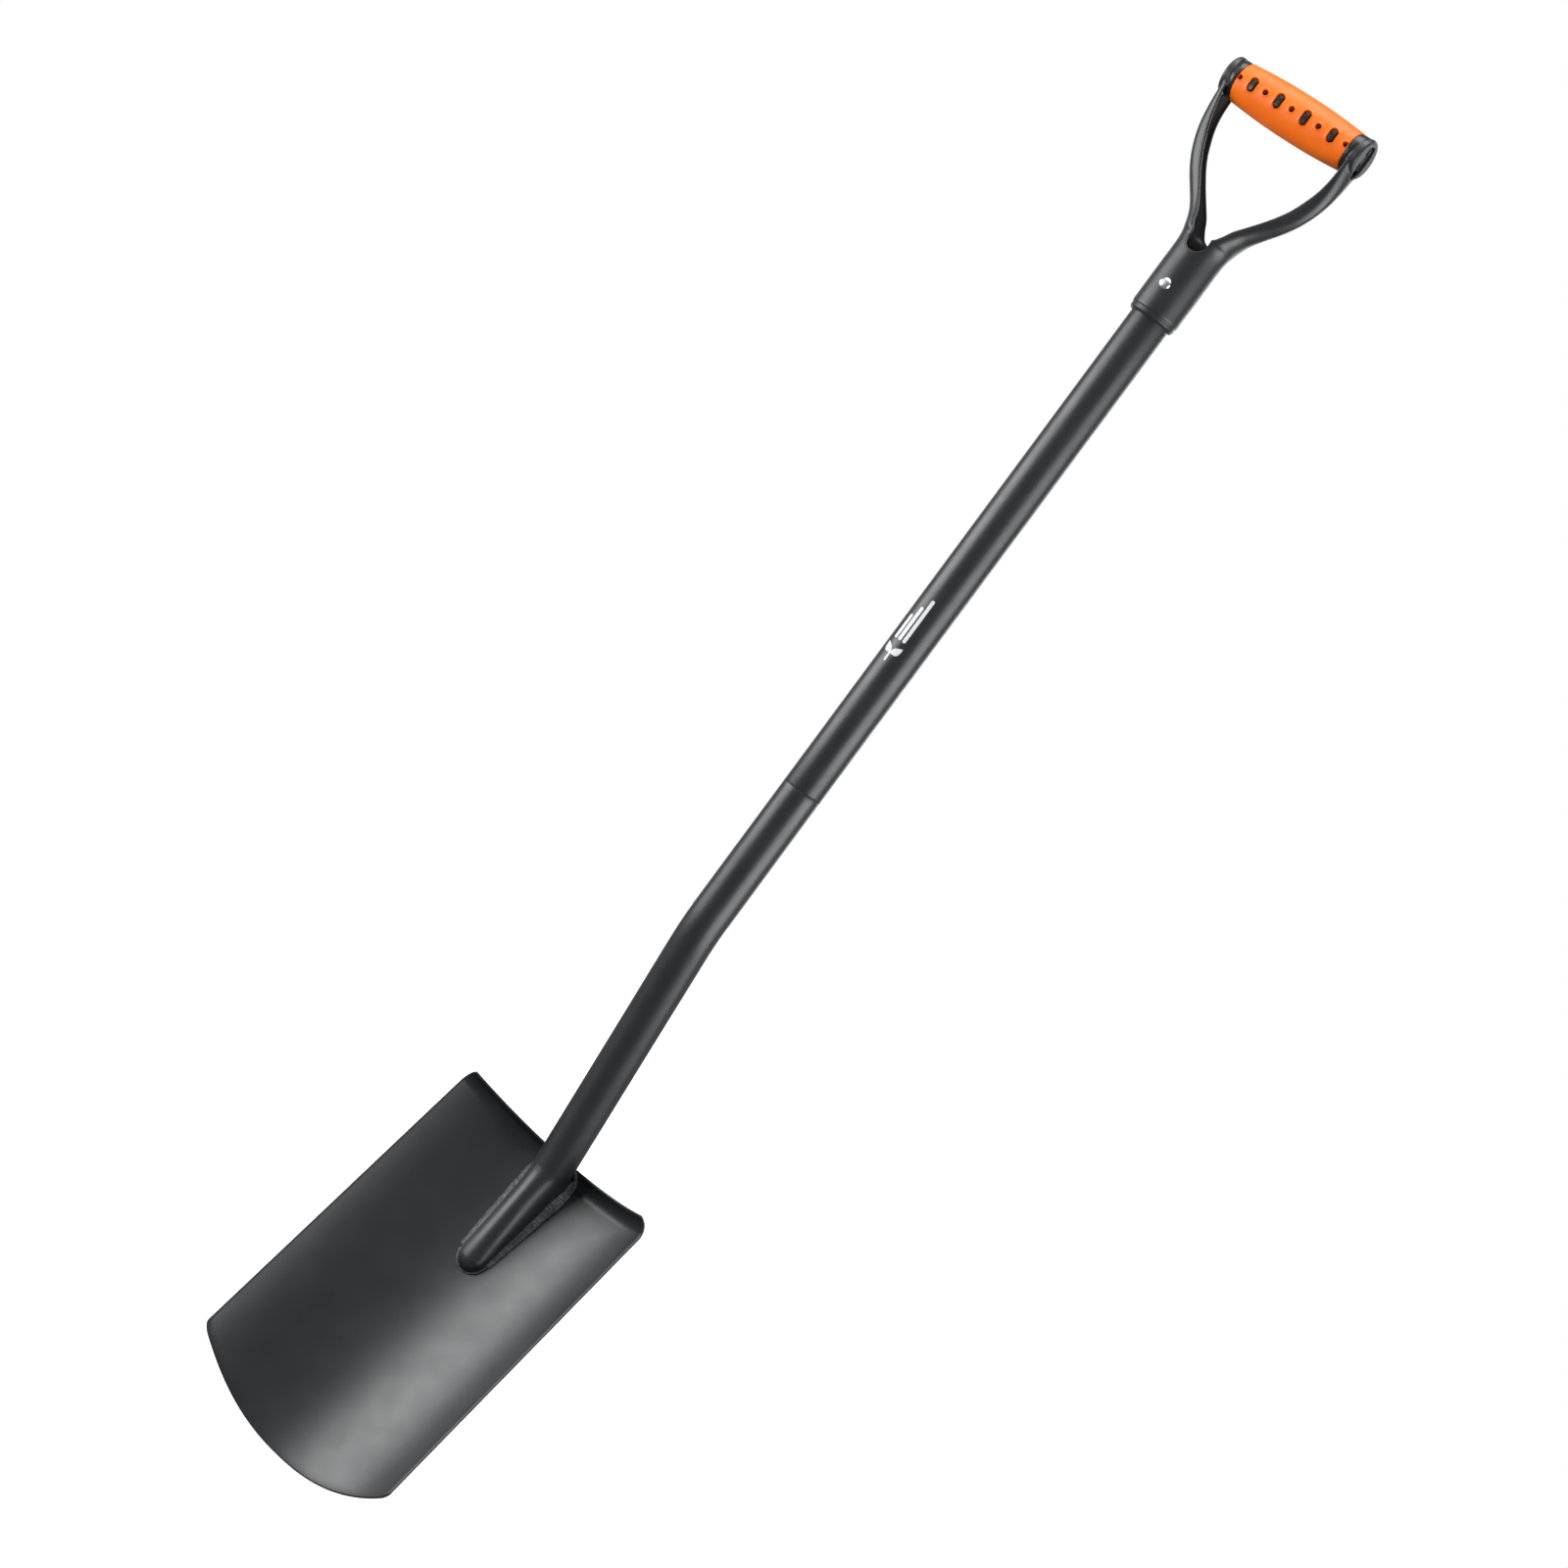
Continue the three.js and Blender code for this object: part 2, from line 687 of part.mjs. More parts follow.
// Half-oval rings up one prong, shrunk by "inset" and opened past the edge.
function prongRings(side, inset, opening) {
  const arcSteps = AROUND / 2;
  return prongStations.map(({ wall, edge, half }) => {
    const wallPoint = vec(side * wall[0], leanAt(wall[1]), wall[1]);
    const edgePoint = vec(side * edge[0], leanAt(edge[1]), edge[1]);
    const across = wallPoint.clone().sub(edgePoint);
    const reach = across.length() - inset;
    across.normalize();
    const ring = [];
    for (let i = 0; i <= arcSteps; i++) {
      const angle = -Math.PI / 2 + Math.PI * i / arcSteps;
      ring.push(edgePoint.clone()
        .addScaledVector(across, reach * Math.cos(angle))
        .add(vec(0, (half - inset) * Math.sin(angle), 0)));
    }
    if (opening > 0) {
      const shift = across.clone().multiplyScalar(-opening);
      ring.push(ring[arcSteps].clone().add(shift));
      ring.push(ring[0].clone().add(shift));
    }
    return ring;
  });
}

// Round-bottomed cutter that deepens the notch through the front wall only.
function frontNotchCutter() {
  const radius = NOTCH_RADIUS;
  const shape = new THREE.Shape();
  shape.moveTo(-radius, 3 * radius);
  shape.lineTo(-radius, radius);
  shape.absarc(0, radius, radius, Math.PI, 2 * Math.PI, false);
  shape.lineTo(radius, 3 * radius);
  const geometry = new THREE.ExtrudeGeometry(shape, {
    depth: SOCKET_RADIUS, bevelEnabled: false, curveSegments: 8,
  });
  geometry.rotateX(Math.PI / 2);
  geometry.translate(0, -PAST, FRONT_NOTCH);
  return geometry;
}

// Socket below the prongs, with its end turned in to the tube.
function socketBody() {
  const bore = SOCKET_RADIUS - SHEET;
  const grip = TUBE_RADIUS + GAP;
  return turned([
    [grip, SOCKET_BOTTOM],
    [SOCKET_RADIUS - 2, SOCKET_BOTTOM],
    [SOCKET_RADIUS - 0.6, SOCKET_BOTTOM + 1.6],
    [SOCKET_RADIUS, SOCKET_BOTTOM + 5],
    [SOCKET_RADIUS, SOCKET_TOP],
    [bore, SOCKET_TOP],
    [bore, SOCKET_BOTTOM + 6],
    [grip, SOCKET_BOTTOM + 4],
  ]);
}

// Half space that leaves the eye's skirt deep at the bottom and shallow on top.
function skirtTrim(side) {
  const size = 80;
  const block = new THREE.BoxGeometry(size, size, size);
  block.translate(-size / 2, 0, 0);
  block.rotateY(SKIRT_SLANT * toRadians);
  block.translate(EYE_OUTER - SKIRT_DEPTH, -GRIP_LEAN, GRIP_HEIGHT);
  return mirroredTo(block, side);
}

// Cup at the top of a prong that carries one end of the grip.
function eyeCup(side) {
  const bore = EYE_RADIUS - EYE_WALL;
  const cup = turnedAcross([
    [0, EYE_INNER],
    [bore, EYE_INNER],
    [bore, EYE_START],
    [EYE_RADIUS, EYE_START],
    [EYE_RADIUS, EYE_OUTER - 1],
    [EYE_RADIUS - 1, EYE_OUTER],
    [0, EYE_OUTER],
  ]);
  cup.translate(0, -GRIP_LEAN, GRIP_HEIGHT);
  const placed = mirroredTo(cup, side);
  return combine(placed, [], [skirtTrim(side)]);
}

// Right-hand shape as it is, or its mirror image for the left side.
function mirroredTo(geometry, side) {
  const placed = bare(geometry);
  if (side < 0) {
    placed.scale(-1, 1, 1);
    const index = placed.index.array;
    for (let i = 0; i < index.length; i += 3) {
      [index[i], index[i + 1]] = [index[i + 1], index[i]];
    }
  }
  return placed;
}

// Long recess in the outer face of an eye, with the bar's hole through it.
function eyeRecess(side) {
  const half = RECESS_HALF;
  const straight = RECESS_STRAIGHT;
  const shape = new THREE.Shape();
  shape.moveTo(half, -straight);
  shape.lineTo(half, straight);
  shape.absarc(0, straight, half, 0, Math.PI, false);
  shape.lineTo(-half, -straight);
  shape.absarc(0, -straight, half, Math.PI, 2 * Math.PI, false);
  const geometry = new THREE.ExtrudeGeometry(shape, {
    depth: 10, bevelEnabled: false, curveSegments: 6,
  });
  geometry.rotateX(Math.PI / 2);
  geometry.rotateZ(Math.PI / 2);
  geometry.translate(EYE_OUTER - RECESS_DEPTH, -GRIP_LEAN, GRIP_HEIGHT);
  return mirroredTo(geometry, side);
}

function yoke() {
  const sides = [-1, 1];
  const outers = sides.map((side) => skinRings(prongRings(side, 0, 0)));
  const inners = sides.map((side) => skinRings(prongRings(side, SHEET, 2)));
  const cupBores = sides.map((side) => rod(
    vec(side * (EYE_START - PAST), -GRIP_LEAN, GRIP_HEIGHT),
    vec(side * EYE_INNER, -GRIP_LEAN, GRIP_HEIGHT), EYE_RADIUS - EYE_WALL, GRIP_AROUND));
  const bore = rod(
    vec(0, 0, SOCKET_BOTTOM + 6), vec(0, 0, FRONT_NOTCH + PAST), SOCKET_RADIUS - SHEET);
  const rivetHole = rod(
    vec(0, -30, RIVET_HEIGHT), vec(0, 30, RIVET_HEIGHT), RIVET_RADIUS + GAP);
  const barHole = rod(
    vec(-70, -GRIP_LEAN, GRIP_HEIGHT), vec(70, -GRIP_LEAN, GRIP_HEIGHT), BAR_RADIUS + GAP);
  return combine(
    socketBody(),
    [...outers, ...sides.map(eyeCup)],
    [...inners, ...cupBores, bore, frontNotchCutter(), rivetHole, barHole,
      ...sides.map(eyeRecess)]);
}

function yokeRivet() {
  const seat = SOCKET_RADIUS + 0.1;
  const rivet = turned([
    [0, -seat - RIVET_HEAD_HEIGHT],
    [0.6 * RIVET_HEAD_RADIUS, -seat - 0.8 * RIVET_HEAD_HEIGHT],
    [RIVET_HEAD_RADIUS, -seat],
    [RIVET_RADIUS, -seat],
    [RIVET_RADIUS, seat],
    [RIVET_HEAD_RADIUS, seat],
    [0.6 * RIVET_HEAD_RADIUS, seat + 0.8 * RIVET_HEAD_HEIGHT],
    [0, seat + RIVET_HEAD_HEIGHT],
  ], 16);
  rivet.rotateX(Math.PI / 2);
  rivet.translate(0, 0, RIVET_HEIGHT);
  return rivet;
}

// ---- grip --------------------------------------------------------------------------------------

// Radius of the grip sleeve at a distance from its middle.
function sleeveRadiusAt(x) {
  const beyond = (Math.abs(x) - SLEEVE_FLAT) / (SLEEVE_HALF - SLEEVE_FLAT);
  const share = Math.min(Math.max(beyond, 0), 1);
  return SLEEVE_MID_RADIUS + (SLEEVE_END_RADIUS - SLEEVE_MID_RADIUS) * share ** 1.8;
}

// Long hole through the front wall of the sleeve.
function slotCutter(x) {
  const half = SLOT_HALF;
  const straight = SLOT_STRAIGHT;
  const shape = new THREE.Shape();
  shape.moveTo(half, -straight);
  shape.lineTo(half, straight);
  shape.absarc(0, straight, half, 0, Math.PI, false);
  shape.lineTo(-half, -straight);
  shape.absarc(0, -straight, half, Math.PI, 2 * Math.PI, false);
  const geometry = new THREE.ExtrudeGeometry(shape, {
    depth: SLEEVE_MID_RADIUS, bevelEnabled: false, curveSegments: 4,
  });
  geometry.rotateX(Math.PI / 2);
  geometry.translate(x, -PAST, 0);
  return geometry;
}

function gripSleeve() {
  const bore = CORE_RADIUS + GAP;
  const outline = [[bore, -SLEEVE_HALF]];
  for (const share of [-1, -0.78, -0.53, -0.31, -0.12, 0.12, 0.31, 0.53, 0.78, 1]) {
    const x = share * SLEEVE_HALF;
    outline.push([sleeveRadiusAt(x), x]);
  }
  outline.push([bore, SLEEVE_HALF]);
  const slots = [-1.5, -0.5, 0.5, 1.5].map((step) => slotCutter(step * SLOT_PITCH));
  const sleeve = combine(turnedAcross(outline), [], slots);
  sleeve.translate(0, -GRIP_LEAN, GRIP_HEIGHT);
  return sleeve;
}

// Plastic core whose end flanges close the gap between sleeve and yoke.
function gripCore() {
  const start = SLEEVE_HALF + GAP;
  const end = EYE_INNER - GAP;
  const flange = EYE_RADIUS - 0.2;
  const bore = BAR_RADIUS + GAP;
  const core = turnedAcross([
    [bore, -end],
    [flange, -end],
    [flange, -start],
    [CORE_RADIUS, -start],
    [CORE_RADIUS, start],
    [flange, start],
    [flange, end],
    [bore, end],
  ]);
  core.translate(0, -GRIP_LEAN, GRIP_HEIGHT);
  const prongs = [-1, 1].map((side) => skinRings(prongRings(side, -GAP, 0)));
  return combine(core, [], [...[-1, 1].map(skirtClearance), ...prongs]);
}

// Space taken by an eye's skirt, with clearance, cut out of the core's flange.
function skirtClearance(side) {
  const ring = turnedAcross([
    [EYE_RADIUS - EYE_WALL - GAP, EYE_START - PAST],
    [EYE_RADIUS + PAST, EYE_START - PAST],
    [EYE_RADIUS + PAST, EYE_OUTER],
    [EYE_RADIUS - EYE_WALL - GAP, EYE_OUTER],
  ]);
  ring.translate(0, -GRIP_LEAN, GRIP_HEIGHT);
  const trim = skirtTrim(side);
  trim.translate(-side * GAP, 0, 0);
  return combine(mirroredTo(ring, side), [], [trim]);
}

function gripBar() {
  const seat = EYE_OUTER - RECESS_DEPTH + 0.1;
  const bar = turnedAcross([
    [0, -seat - BAR_HEAD_HEIGHT],
    [0.7 * BAR_HEAD_RADIUS, -seat - 0.8 * BAR_HEAD_HEIGHT],
    [BAR_HEAD_RADIUS, -seat],
    [BAR_RADIUS, -seat],
    [BAR_RADIUS, seat],
    [BAR_HEAD_RADIUS, seat],
    [0.7 * BAR_HEAD_RADIUS, seat + 0.8 * BAR_HEAD_HEIGHT],
    [0, seat + BAR_HEAD_HEIGHT],
  ]);
  bar.translate(0, -GRIP_LEAN, GRIP_HEIGHT);
  return bar;
}

// ---- materials -----------------------------------------------------------------------------------

function material(color, roughness, metalness) {
  return new THREE.MeshStandardMaterial({ color, roughness, metalness });
}

const powderCoat = () => material(0x3a3c3f, 0.5, 0.3);
const weldCoat = () => material(0x2f3133, 0.7, 0.3);
const zincPlate = () => material(0xb9bec2, 0.35, 0.9);
const orangeGrip = () => material(0xff7a1e, 0.55, 0);
const blackPlastic = () => material(0x1c1d1f, 0.4, 0);
const blackWasher = () => material(0x141414, 0.8, 0);

// ---- assembly ------------------------------------------------------------------------------------

const group = new THREE.Group();
group.name = 'two_piece_digging_spade';

// Adds one named piece, moved from the tube's own frame to the part's frame.
function addPiece(name, geometry, surface) {
  geometry.translate(0, TUBE_AXIS_Y, JOINT_HEIGHT);
  const mesh = new THREE.Mesh(geometry, surface);
  mesh.name = name;
  group.add(mesh);
}

const bladeBlank = bladeSheet(0, BLADE_THICKNESS);
addPiece('blade', combine(bladeBlank, [], [lowerTubeEnvelope(GAP)]), powderCoat());
addPiece('lower_tube', lowerTube(), powderCoat());
addPiece('weld_left', sideWeld(-1, WELD_LEG_LEFT), weldCoat());
addPiece('weld_right', sideWeld(1, WELD_LEG_RIGHT), weldCoat());
addPiece('weld_toe', toeWeld(), weldCoat());
addPiece('thread_socket', threadSocket(), zincPlate());
addPiece('socket_plug_weld_left', plugWeld(-PLUG_DEPTH, 0), weldCoat());
addPiece('socket_plug_weld_right', plugWeld(-PLUG_DEPTH, 1), weldCoat());

addPiece('joint_washer', jointWasher(), blackWasher());

addPiece('thread_stud', threadStud(), zincPlate());
addPiece('stud_plug_weld_left', plugWeld(PLUG_DEPTH, 0), weldCoat());
addPiece('stud_plug_weld_right', plugWeld(PLUG_DEPTH, 1), weldCoat());
addPiece('upper_tube', upperTube(), powderCoat());
addPiece('yoke', yoke(), powderCoat());
addPiece('yoke_rivet', yokeRivet(), zincPlate());
addPiece('grip_core', gripCore(), blackPlastic());
addPiece('grip_sleeve', gripSleeve(), orangeGrip());
addPiece('grip_bar', gripBar(), powderCoat());

export default group;
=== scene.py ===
import math

import bmesh
import bpy
import numpy as np
from mathutils import Matrix, Vector, noise


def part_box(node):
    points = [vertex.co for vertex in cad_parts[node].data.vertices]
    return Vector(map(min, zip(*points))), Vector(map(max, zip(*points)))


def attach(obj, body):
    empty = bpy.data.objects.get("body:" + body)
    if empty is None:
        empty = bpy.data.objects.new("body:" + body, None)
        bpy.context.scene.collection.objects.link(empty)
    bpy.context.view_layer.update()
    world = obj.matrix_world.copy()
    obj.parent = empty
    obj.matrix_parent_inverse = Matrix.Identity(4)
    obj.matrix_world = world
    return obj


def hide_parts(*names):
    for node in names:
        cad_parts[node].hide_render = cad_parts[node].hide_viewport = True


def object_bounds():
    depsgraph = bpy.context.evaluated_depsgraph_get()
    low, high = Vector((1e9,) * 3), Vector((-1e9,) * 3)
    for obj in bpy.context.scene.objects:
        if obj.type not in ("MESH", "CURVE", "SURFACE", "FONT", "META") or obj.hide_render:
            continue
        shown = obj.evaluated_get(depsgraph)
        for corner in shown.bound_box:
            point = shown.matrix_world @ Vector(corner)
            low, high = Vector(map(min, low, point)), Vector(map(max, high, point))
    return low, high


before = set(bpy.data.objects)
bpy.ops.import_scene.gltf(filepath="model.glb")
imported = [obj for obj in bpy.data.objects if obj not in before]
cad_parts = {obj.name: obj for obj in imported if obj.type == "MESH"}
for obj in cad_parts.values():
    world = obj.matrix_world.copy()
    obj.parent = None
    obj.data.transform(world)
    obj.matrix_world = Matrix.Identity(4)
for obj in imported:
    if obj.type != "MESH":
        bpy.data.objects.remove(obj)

# The looks of a two-piece digging spade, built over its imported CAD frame.
#
# Every shape is worked out in millimetres in the tube's own frame: the joint plane is z
# = 0, the upper tube is on the Z axis, and the blade's face looks along -Y.

MM = 0.001
SIDES = ((-1, "left"), (1, "right"))
cad_low, cad_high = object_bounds()
tube_low, tube_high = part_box("upper_tube")
grip_low, grip_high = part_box("grip_core")
rivet_low, rivet_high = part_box("yoke_rivet")

WASHER = 1.0    # thickness of the washer in the joint
ORIGIN = np.array([
    (tube_low.x + tube_high.x) / 2,
    (tube_low.y + tube_high.y) / 2,
    tube_low.z - WASHER / 2 * MM,
])

# ---- driving dimensions, millimetres and degrees -------------------------------------

TUBE_RADIUS = 15.0
TUBE_WALL = 1.5
TUBE_TOP = (tube_high.z - ORIGIN[2]) / MM
TUBE_SIDES = 96

# lower tube: its bend, and where its axis passes the tread
BEND_DROP = 122.4
BEND_RADIUS = 150.0
CRANK_ANGLE = math.radians(12.2)
CRANK_RUN = 208.6
TREAD_STANDOFF = 18.9

# blade: pressed sheet with an arched dish, a bowed cutting edge and a rolled tread
BLADE_PITCH = math.radians(23.2)
SHEET_THICKNESS = 2.0
DISH_RADIUS = 137.0
HALF_WIDTH_TOP = 91.0
HALF_WIDTH_BOTTOM = 93.5
SIDE_LENGTH = 261.0
EDGE_BULGE = 27.6
CORNER_CUT = 4.0
CORNER_START = 0.94
TREAD_RADIUS = 11.0
TREAD_DROP = 2.5
CURL_START = TREAD_DROP + TREAD_RADIUS
TREAD_TURN = math.radians(80.0)
TREAD_LIP = 2.0
LIP_CORNER = 2.0

# welds: leg at the tread and share of it that the bead's middle stands out, by side
WELD_TOP = {-1: 5.4, 1: 7.6}
WELD_REACH = {-1: 0.42, 1: 0.1}
WELD_TOE = 2.6
RIPPLE_PITCH = 2.1

# screwed joint, and the plug welds that hold its two halves
THREAD_PITCH = 2.5
THREAD_CLEARANCE = 0.45
STUD_CREST = 11.0
STUD_ROOT = 9.6
THREAD_LENGTH = 24.0
SLEEVE_LENGTH = 30.0
PLUG_DEPTH = 15.0
PLUG_RADIUS = 3.2

# yoke, its rivet and the eyes round the grip's ends
YOKE_SHEET = 2.2
SOCKET_BOTTOM = 403.0
SOCKET_RADIUS = 18.5
FRONT_NOTCH = 456.7
NOTCH_RADIUS = 8.0
SOCKET_TOP = 446.0
DIMPLE_BALL = 24.0
DIMPLE_DEPTH = 0.55
RIVET_HEADS = {-1: (4.5, 2.3), 1: (4.3, 1.9)}    # radius and height, front and back
RIVET_HEIGHT = ((rivet_low.z + rivet_high.z) / 2 - ORIGIN[2]) / MM
GRIP_HEIGHT = ((grip_low.z + grip_high.z) / 2 - ORIGIN[2]) / MM
GRIP_LEAN = (ORIGIN[1] - (grip_low.y + grip_high.y) / 2) / MM
EYE_RADIUS = 15.0
EYE_OUTER = 58.8
EYE_INNER = 54.6
EYE_WALL = 1.6
SKIRT_DEPTH = 6.3
SKIRT_SLANT = math.radians(10.0)
RECESS_HALF = 5.6
RECESS_STRAIGHT = 4.6
RECESS_DEPTH = 2.6

# grip: orange sleeve, plastic core and steel bar
SLEEVE_HALF = 47.9
SLEEVE_END_RADIUS = 14.9
SLEEVE_MID_RADIUS = 17.1
SLEEVE_FLAT = 6.0
SLEEVE_BORE = 10.6
SLEEVE_RIM = 0.8
SLOT_PITCH = 23.1
SLOT_HALF = 3.1
SLOT_STRAIGHT = 2.9
DOT_RADIUS = 2.2
FLANGE_RADIUS = EYE_RADIUS - 0.45
FLANGE_ROUND = 0.6
BAR_RADIUS = 4.0
BAR_HEAD_RADIUS = 4.6
BAR_HEAD_HEIGHT = 1.2

# printed mark on the upper tube
MARK_HEIGHT = 134.0
MARK_AZIMUTH = math.radians(-12.0)


# ---- mesh helpers --------------------------------------------------------------------

def to_frame(points):
    return ORIGIN + np.asarray(points, float).reshape(-1, 3) * MM


def make_object(name, points, faces):
    mesh = bpy.data.meshes.new(name)
    mesh.from_pydata(to_frame(points).tolist(), [], [list(map(int, f)) for f in faces])
    obj = bpy.data.objects.new(name, mesh)
    bpy.context.scene.collection.objects.link(obj)
    tidy_mesh(obj)
    return obj


def tidy_mesh(obj, merge=2e-6):
    """Welds doubled points, turns the faces outward and shades the piece smooth."""
    shape = bmesh.new()
    shape.from_mesh(obj.data)
    bmesh.ops.remove_doubles(shape, verts=shape.verts, dist=merge)
    bmesh.ops.dissolve_degenerate(shape, edges=shape.edges, dist=merge)
    bmesh.ops.recalc_face_normals(shape, faces=shape.faces)
    shape.to_mesh(obj.data)
    shape.free()
    obj.data.polygons.foreach_set("use_smooth", [True] * len(obj.data.polygons))
    obj.data.set_sharp_from_angle(angle=math.radians(50))


def grid_faces(rows, columns, wrap_rows=False, wrap_columns=True):
    r = np.arange(rows if wrap_rows else rows - 1)
    c = np.arange(columns if wrap_columns else columns - 1)
    r, c = np.meshgrid(r, c, indexing="ij")
    next_r = (r + 1) % rows
    next_c = (c + 1) % columns
    quads = np.stack([
        r * columns + c, r * columns + next_c, next_r * columns + next_c, next_r * columns + c,
    ], -1)
    return quads.reshape(-1, 4).tolist()


def skin(name, rings, cap=True):
    """Closed skin over equal rings of points, capped at both ends."""
    rings = np.asarray(rings, float)
    rows, columns, _ = rings.shape
    faces = grid_faces(rows, columns)
    if cap:
        faces.append(list(range(columns)))
        faces.append([(rows - 1) * columns + c for c in range(columns)])
    return make_object(name, rings, faces)


def rounded(corners, steps=4):
    """Closed outline from (x, y, fillet) corners, each fillet drawn as an arc."""
    outline = []
    for i, (x, y, fillet) in enumerate(corners):
        here = np.array([x, y], float)
        if fillet == 0:
            outline.append(here)
            continue
        before = unit(np.array(corners[i - 1][:2]) - here)
        after = unit(np.array(corners[(i + 1) % len(corners)][:2]) - here)
        half = math.acos(float(np.clip(before @ after, -1, 1))) / 2
        centre = here + unit(before + after) * fillet / math.sin(half)
        start = here + before * fillet / math.tan(half) - centre
        end = here + after * fillet / math.tan(half) - centre
        sweep = math.pi - 2 * half
        for share in np.linspace(0, 1, steps + 1):
            a = math.sin((1 - share) * sweep) / math.sin(sweep)
            b = math.sin(share * sweep) / math.sin(sweep)
            outline.append(centre + a * start + b * end)
    return np.array(outline)


def unit(v):
    v = np.asarray(v, float)
    return v / np.linalg.norm(v)


def turned_points(outline, sides):
    """Rings of a turned shape about Z from an outline of (radius, height)."""
    angles = np.linspace(0, 2 * math.pi, sides, endpoint=False)
    outline = np.asarray(outline, float)
    radius = outline[:, 0][:, None]
    return np.stack([
        radius * np.cos(angles),
        radius * np.sin(angles),
        np.broadcast_to(outline[:, 1][:, None], (len(outline), sides)),
    ], -1)


def turned(name, outline, sides=TUBE_SIDES, place=None):
    """Turned piece about Z; "place" may move its points."""
    points = turned_points(outline, sides)
    faces = grid_faces(len(outline), sides, wrap_rows=True)
    if place is not None:
        points = place(points)
    return make_object(name, points, faces)


def along_x(points):
    """Lays a shape turned about Z along X, on the grip's axis."""
    x, y, z = points[..., 0], points[..., 1], points[..., 2]
    return np.stack([z, x - GRIP_LEAN, y + GRIP_HEIGHT], -1)


def join(objects, name):
    """One object from several, in the first one's place."""
    shape = bmesh.new()
    for obj in objects:
        shape.from_mesh(obj.data)
    mesh = bpy.data.meshes.new(name)
    shape.to_mesh(mesh)
    shape.free()
    for obj in objects:
        bpy.data.objects.remove(obj)
    result = bpy.data.objects.new(name, mesh)
    bpy.context.scene.collection.objects.link(result)
    return result


def apply_modifiers(obj):
    """Replaces the object's mesh with the one its modifiers make."""
    graph = bpy.context.evaluated_depsgraph_get()
    graph.update()
    mesh = bpy.data.meshes.new_from_object(obj.evaluated_get(graph))
    obj.modifiers.clear()
    obj.data = mesh


def catmull_rom(table, steps):
    """Rows of a table joined by a smooth curve, "steps" rows to each gap."""
    table = np.asarray(table, float)
    padded = np.vstack([2 * table[0] - table[1], table, 2 * table[-1] - table[-2]])
    rows = []
    for i in range(1, len(padded) - 2):
        a, b, c, d = padded[i - 1:i + 3]
        for step in range(steps):
            t = step / steps
            rows.append(0.5 * (
                2 * b + (c - a) * t + (2 * a - 5 * b + 4 * c - d) * t ** 2
                + (3 * b - a - 3 * c + d) * t ** 3))
    rows.append(table[-1])
    return np.array(rows)


def wobble(points, size, amount):
    """Smooth uneven lengths, one per point, with waves of about "size"."""
    return amount * np.array([noise.noise(Vector(p) / size) for p in points.reshape(-1, 3)])


def finish_piece(obj, material, body, slot, *nodes):
    obj.data.materials.clear()
    obj.data.materials.append(material)
    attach(obj, body)
    if nodes:
        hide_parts(*nodes)
    return obj


# ---- materials -----------------------------------------------------------------------

class Shader:
    """A material's node tree, with short calls for the nodes used here."""

    def __init__(self, name):
        self.material = bpy.data.materials.new(name)
        self.material.use_nodes = True
        self.tree = self.material.node_tree
        self.surface = self.tree.nodes["Principled BSDF"]
        self.place = self.node("ShaderNodeTexCoord").outputs["Object"]

    def node(self, kind, **settings):
        made = self.tree.nodes.new(kind)
        for key, value in settings.items():
            setattr(made, key, value)
        return made

    def link(self, source, target):
        self.tree.links.new(source, target)

    def noise(self, scale, detail=3.0, roughness=0.5, stretch=None):
        made = self.node("ShaderNodeTexNoise")
        made.inputs["Scale"].default_value = scale
        made.inputs["Detail"].default_value = detail
        made.inputs["Roughness"].default_value = roughness
        source = self.place
        if stretch:
            mapping = self.node("ShaderNodeMapping")
            mapping.inputs["Scale"].default_value = stretch
            self.link(source, mapping.inputs["Vector"])
            source = mapping.outputs["Vector"]
        self.link(source, made.inputs["Vector"])
        return made.outputs["Fac"]

    def cells(self, scale):
        made = self.node("ShaderNodeTexVoronoi")
        made.inputs["Scale"].default_value = scale
        self.link(self.place, made.inputs["Vector"])
        return made.outputs["Color"]

    def range(self, value, low, high, to_low, to_high):
        made = self.node("ShaderNodeMapRange")
        made.inputs["From Min"].default_value = low
        made.inputs["From Max"].default_value = high
        made.inputs["To Min"].default_value = to_low
        made.inputs["To Max"].default_value = to_high
        self.link(value, made.inputs["Value"])
        return made.outputs["Result"]

    def clouds(self, scale, detail, low, high):
        """Even noise stretched to run from low to high."""
        return self.range(self.noise(scale, detail), 0.3, 0.7, low, high)

    def blend(self, share, first, second):
        made = self.node("ShaderNodeMix", data_type="RGBA")
        self.link(share, made.inputs["Factor"])
        for key, value in (("A", first), ("B", second)):
            socket = [s for s in made.inputs if s.name == key and s.type == "RGBA"][0]
            if isinstance(value, tuple):
                socket.default_value = (*value, 1)
            else:
                self.link(value, socket)
        return [s for s in made.outputs if s.type == "RGBA"][0]

    def bumps(self, *layers):
        """Bump nodes chained from (height, strength, depth in metres) layers."""
        normal = None
        for height, strength, depth in layers:
            made = self.node("ShaderNodeBump")
            made.inputs["Strength"].default_value = strength
            made.inputs["Distance"].default_value = depth
            self.link(height, made.inputs["Height"])
            if normal is not None:
                self.link(normal, made.inputs["Normal"])
            normal = made.outputs["Normal"]
        self.link(normal, self.surface.inputs["Normal"])

    def edges(self):
        """Share of a point that lies on a convex outer edge, where a highlight is painted."""
        pointiness = self.node("ShaderNodeNewGeometry").outputs["Pointiness"]
        return self.range(pointiness, 0.57, 0.68, 0.0, 1.0)

    def set(self, **values):
        for key, value in values.items():
            socket = self.surface.inputs[key.replace("_", " ")]
            if isinstance(value, bpy.types.NodeSocket):
                self.link(value, socket)
            elif isinstance(value, tuple):
                socket.default_value = (*value, 1)
            else:
                socket.default_value = value


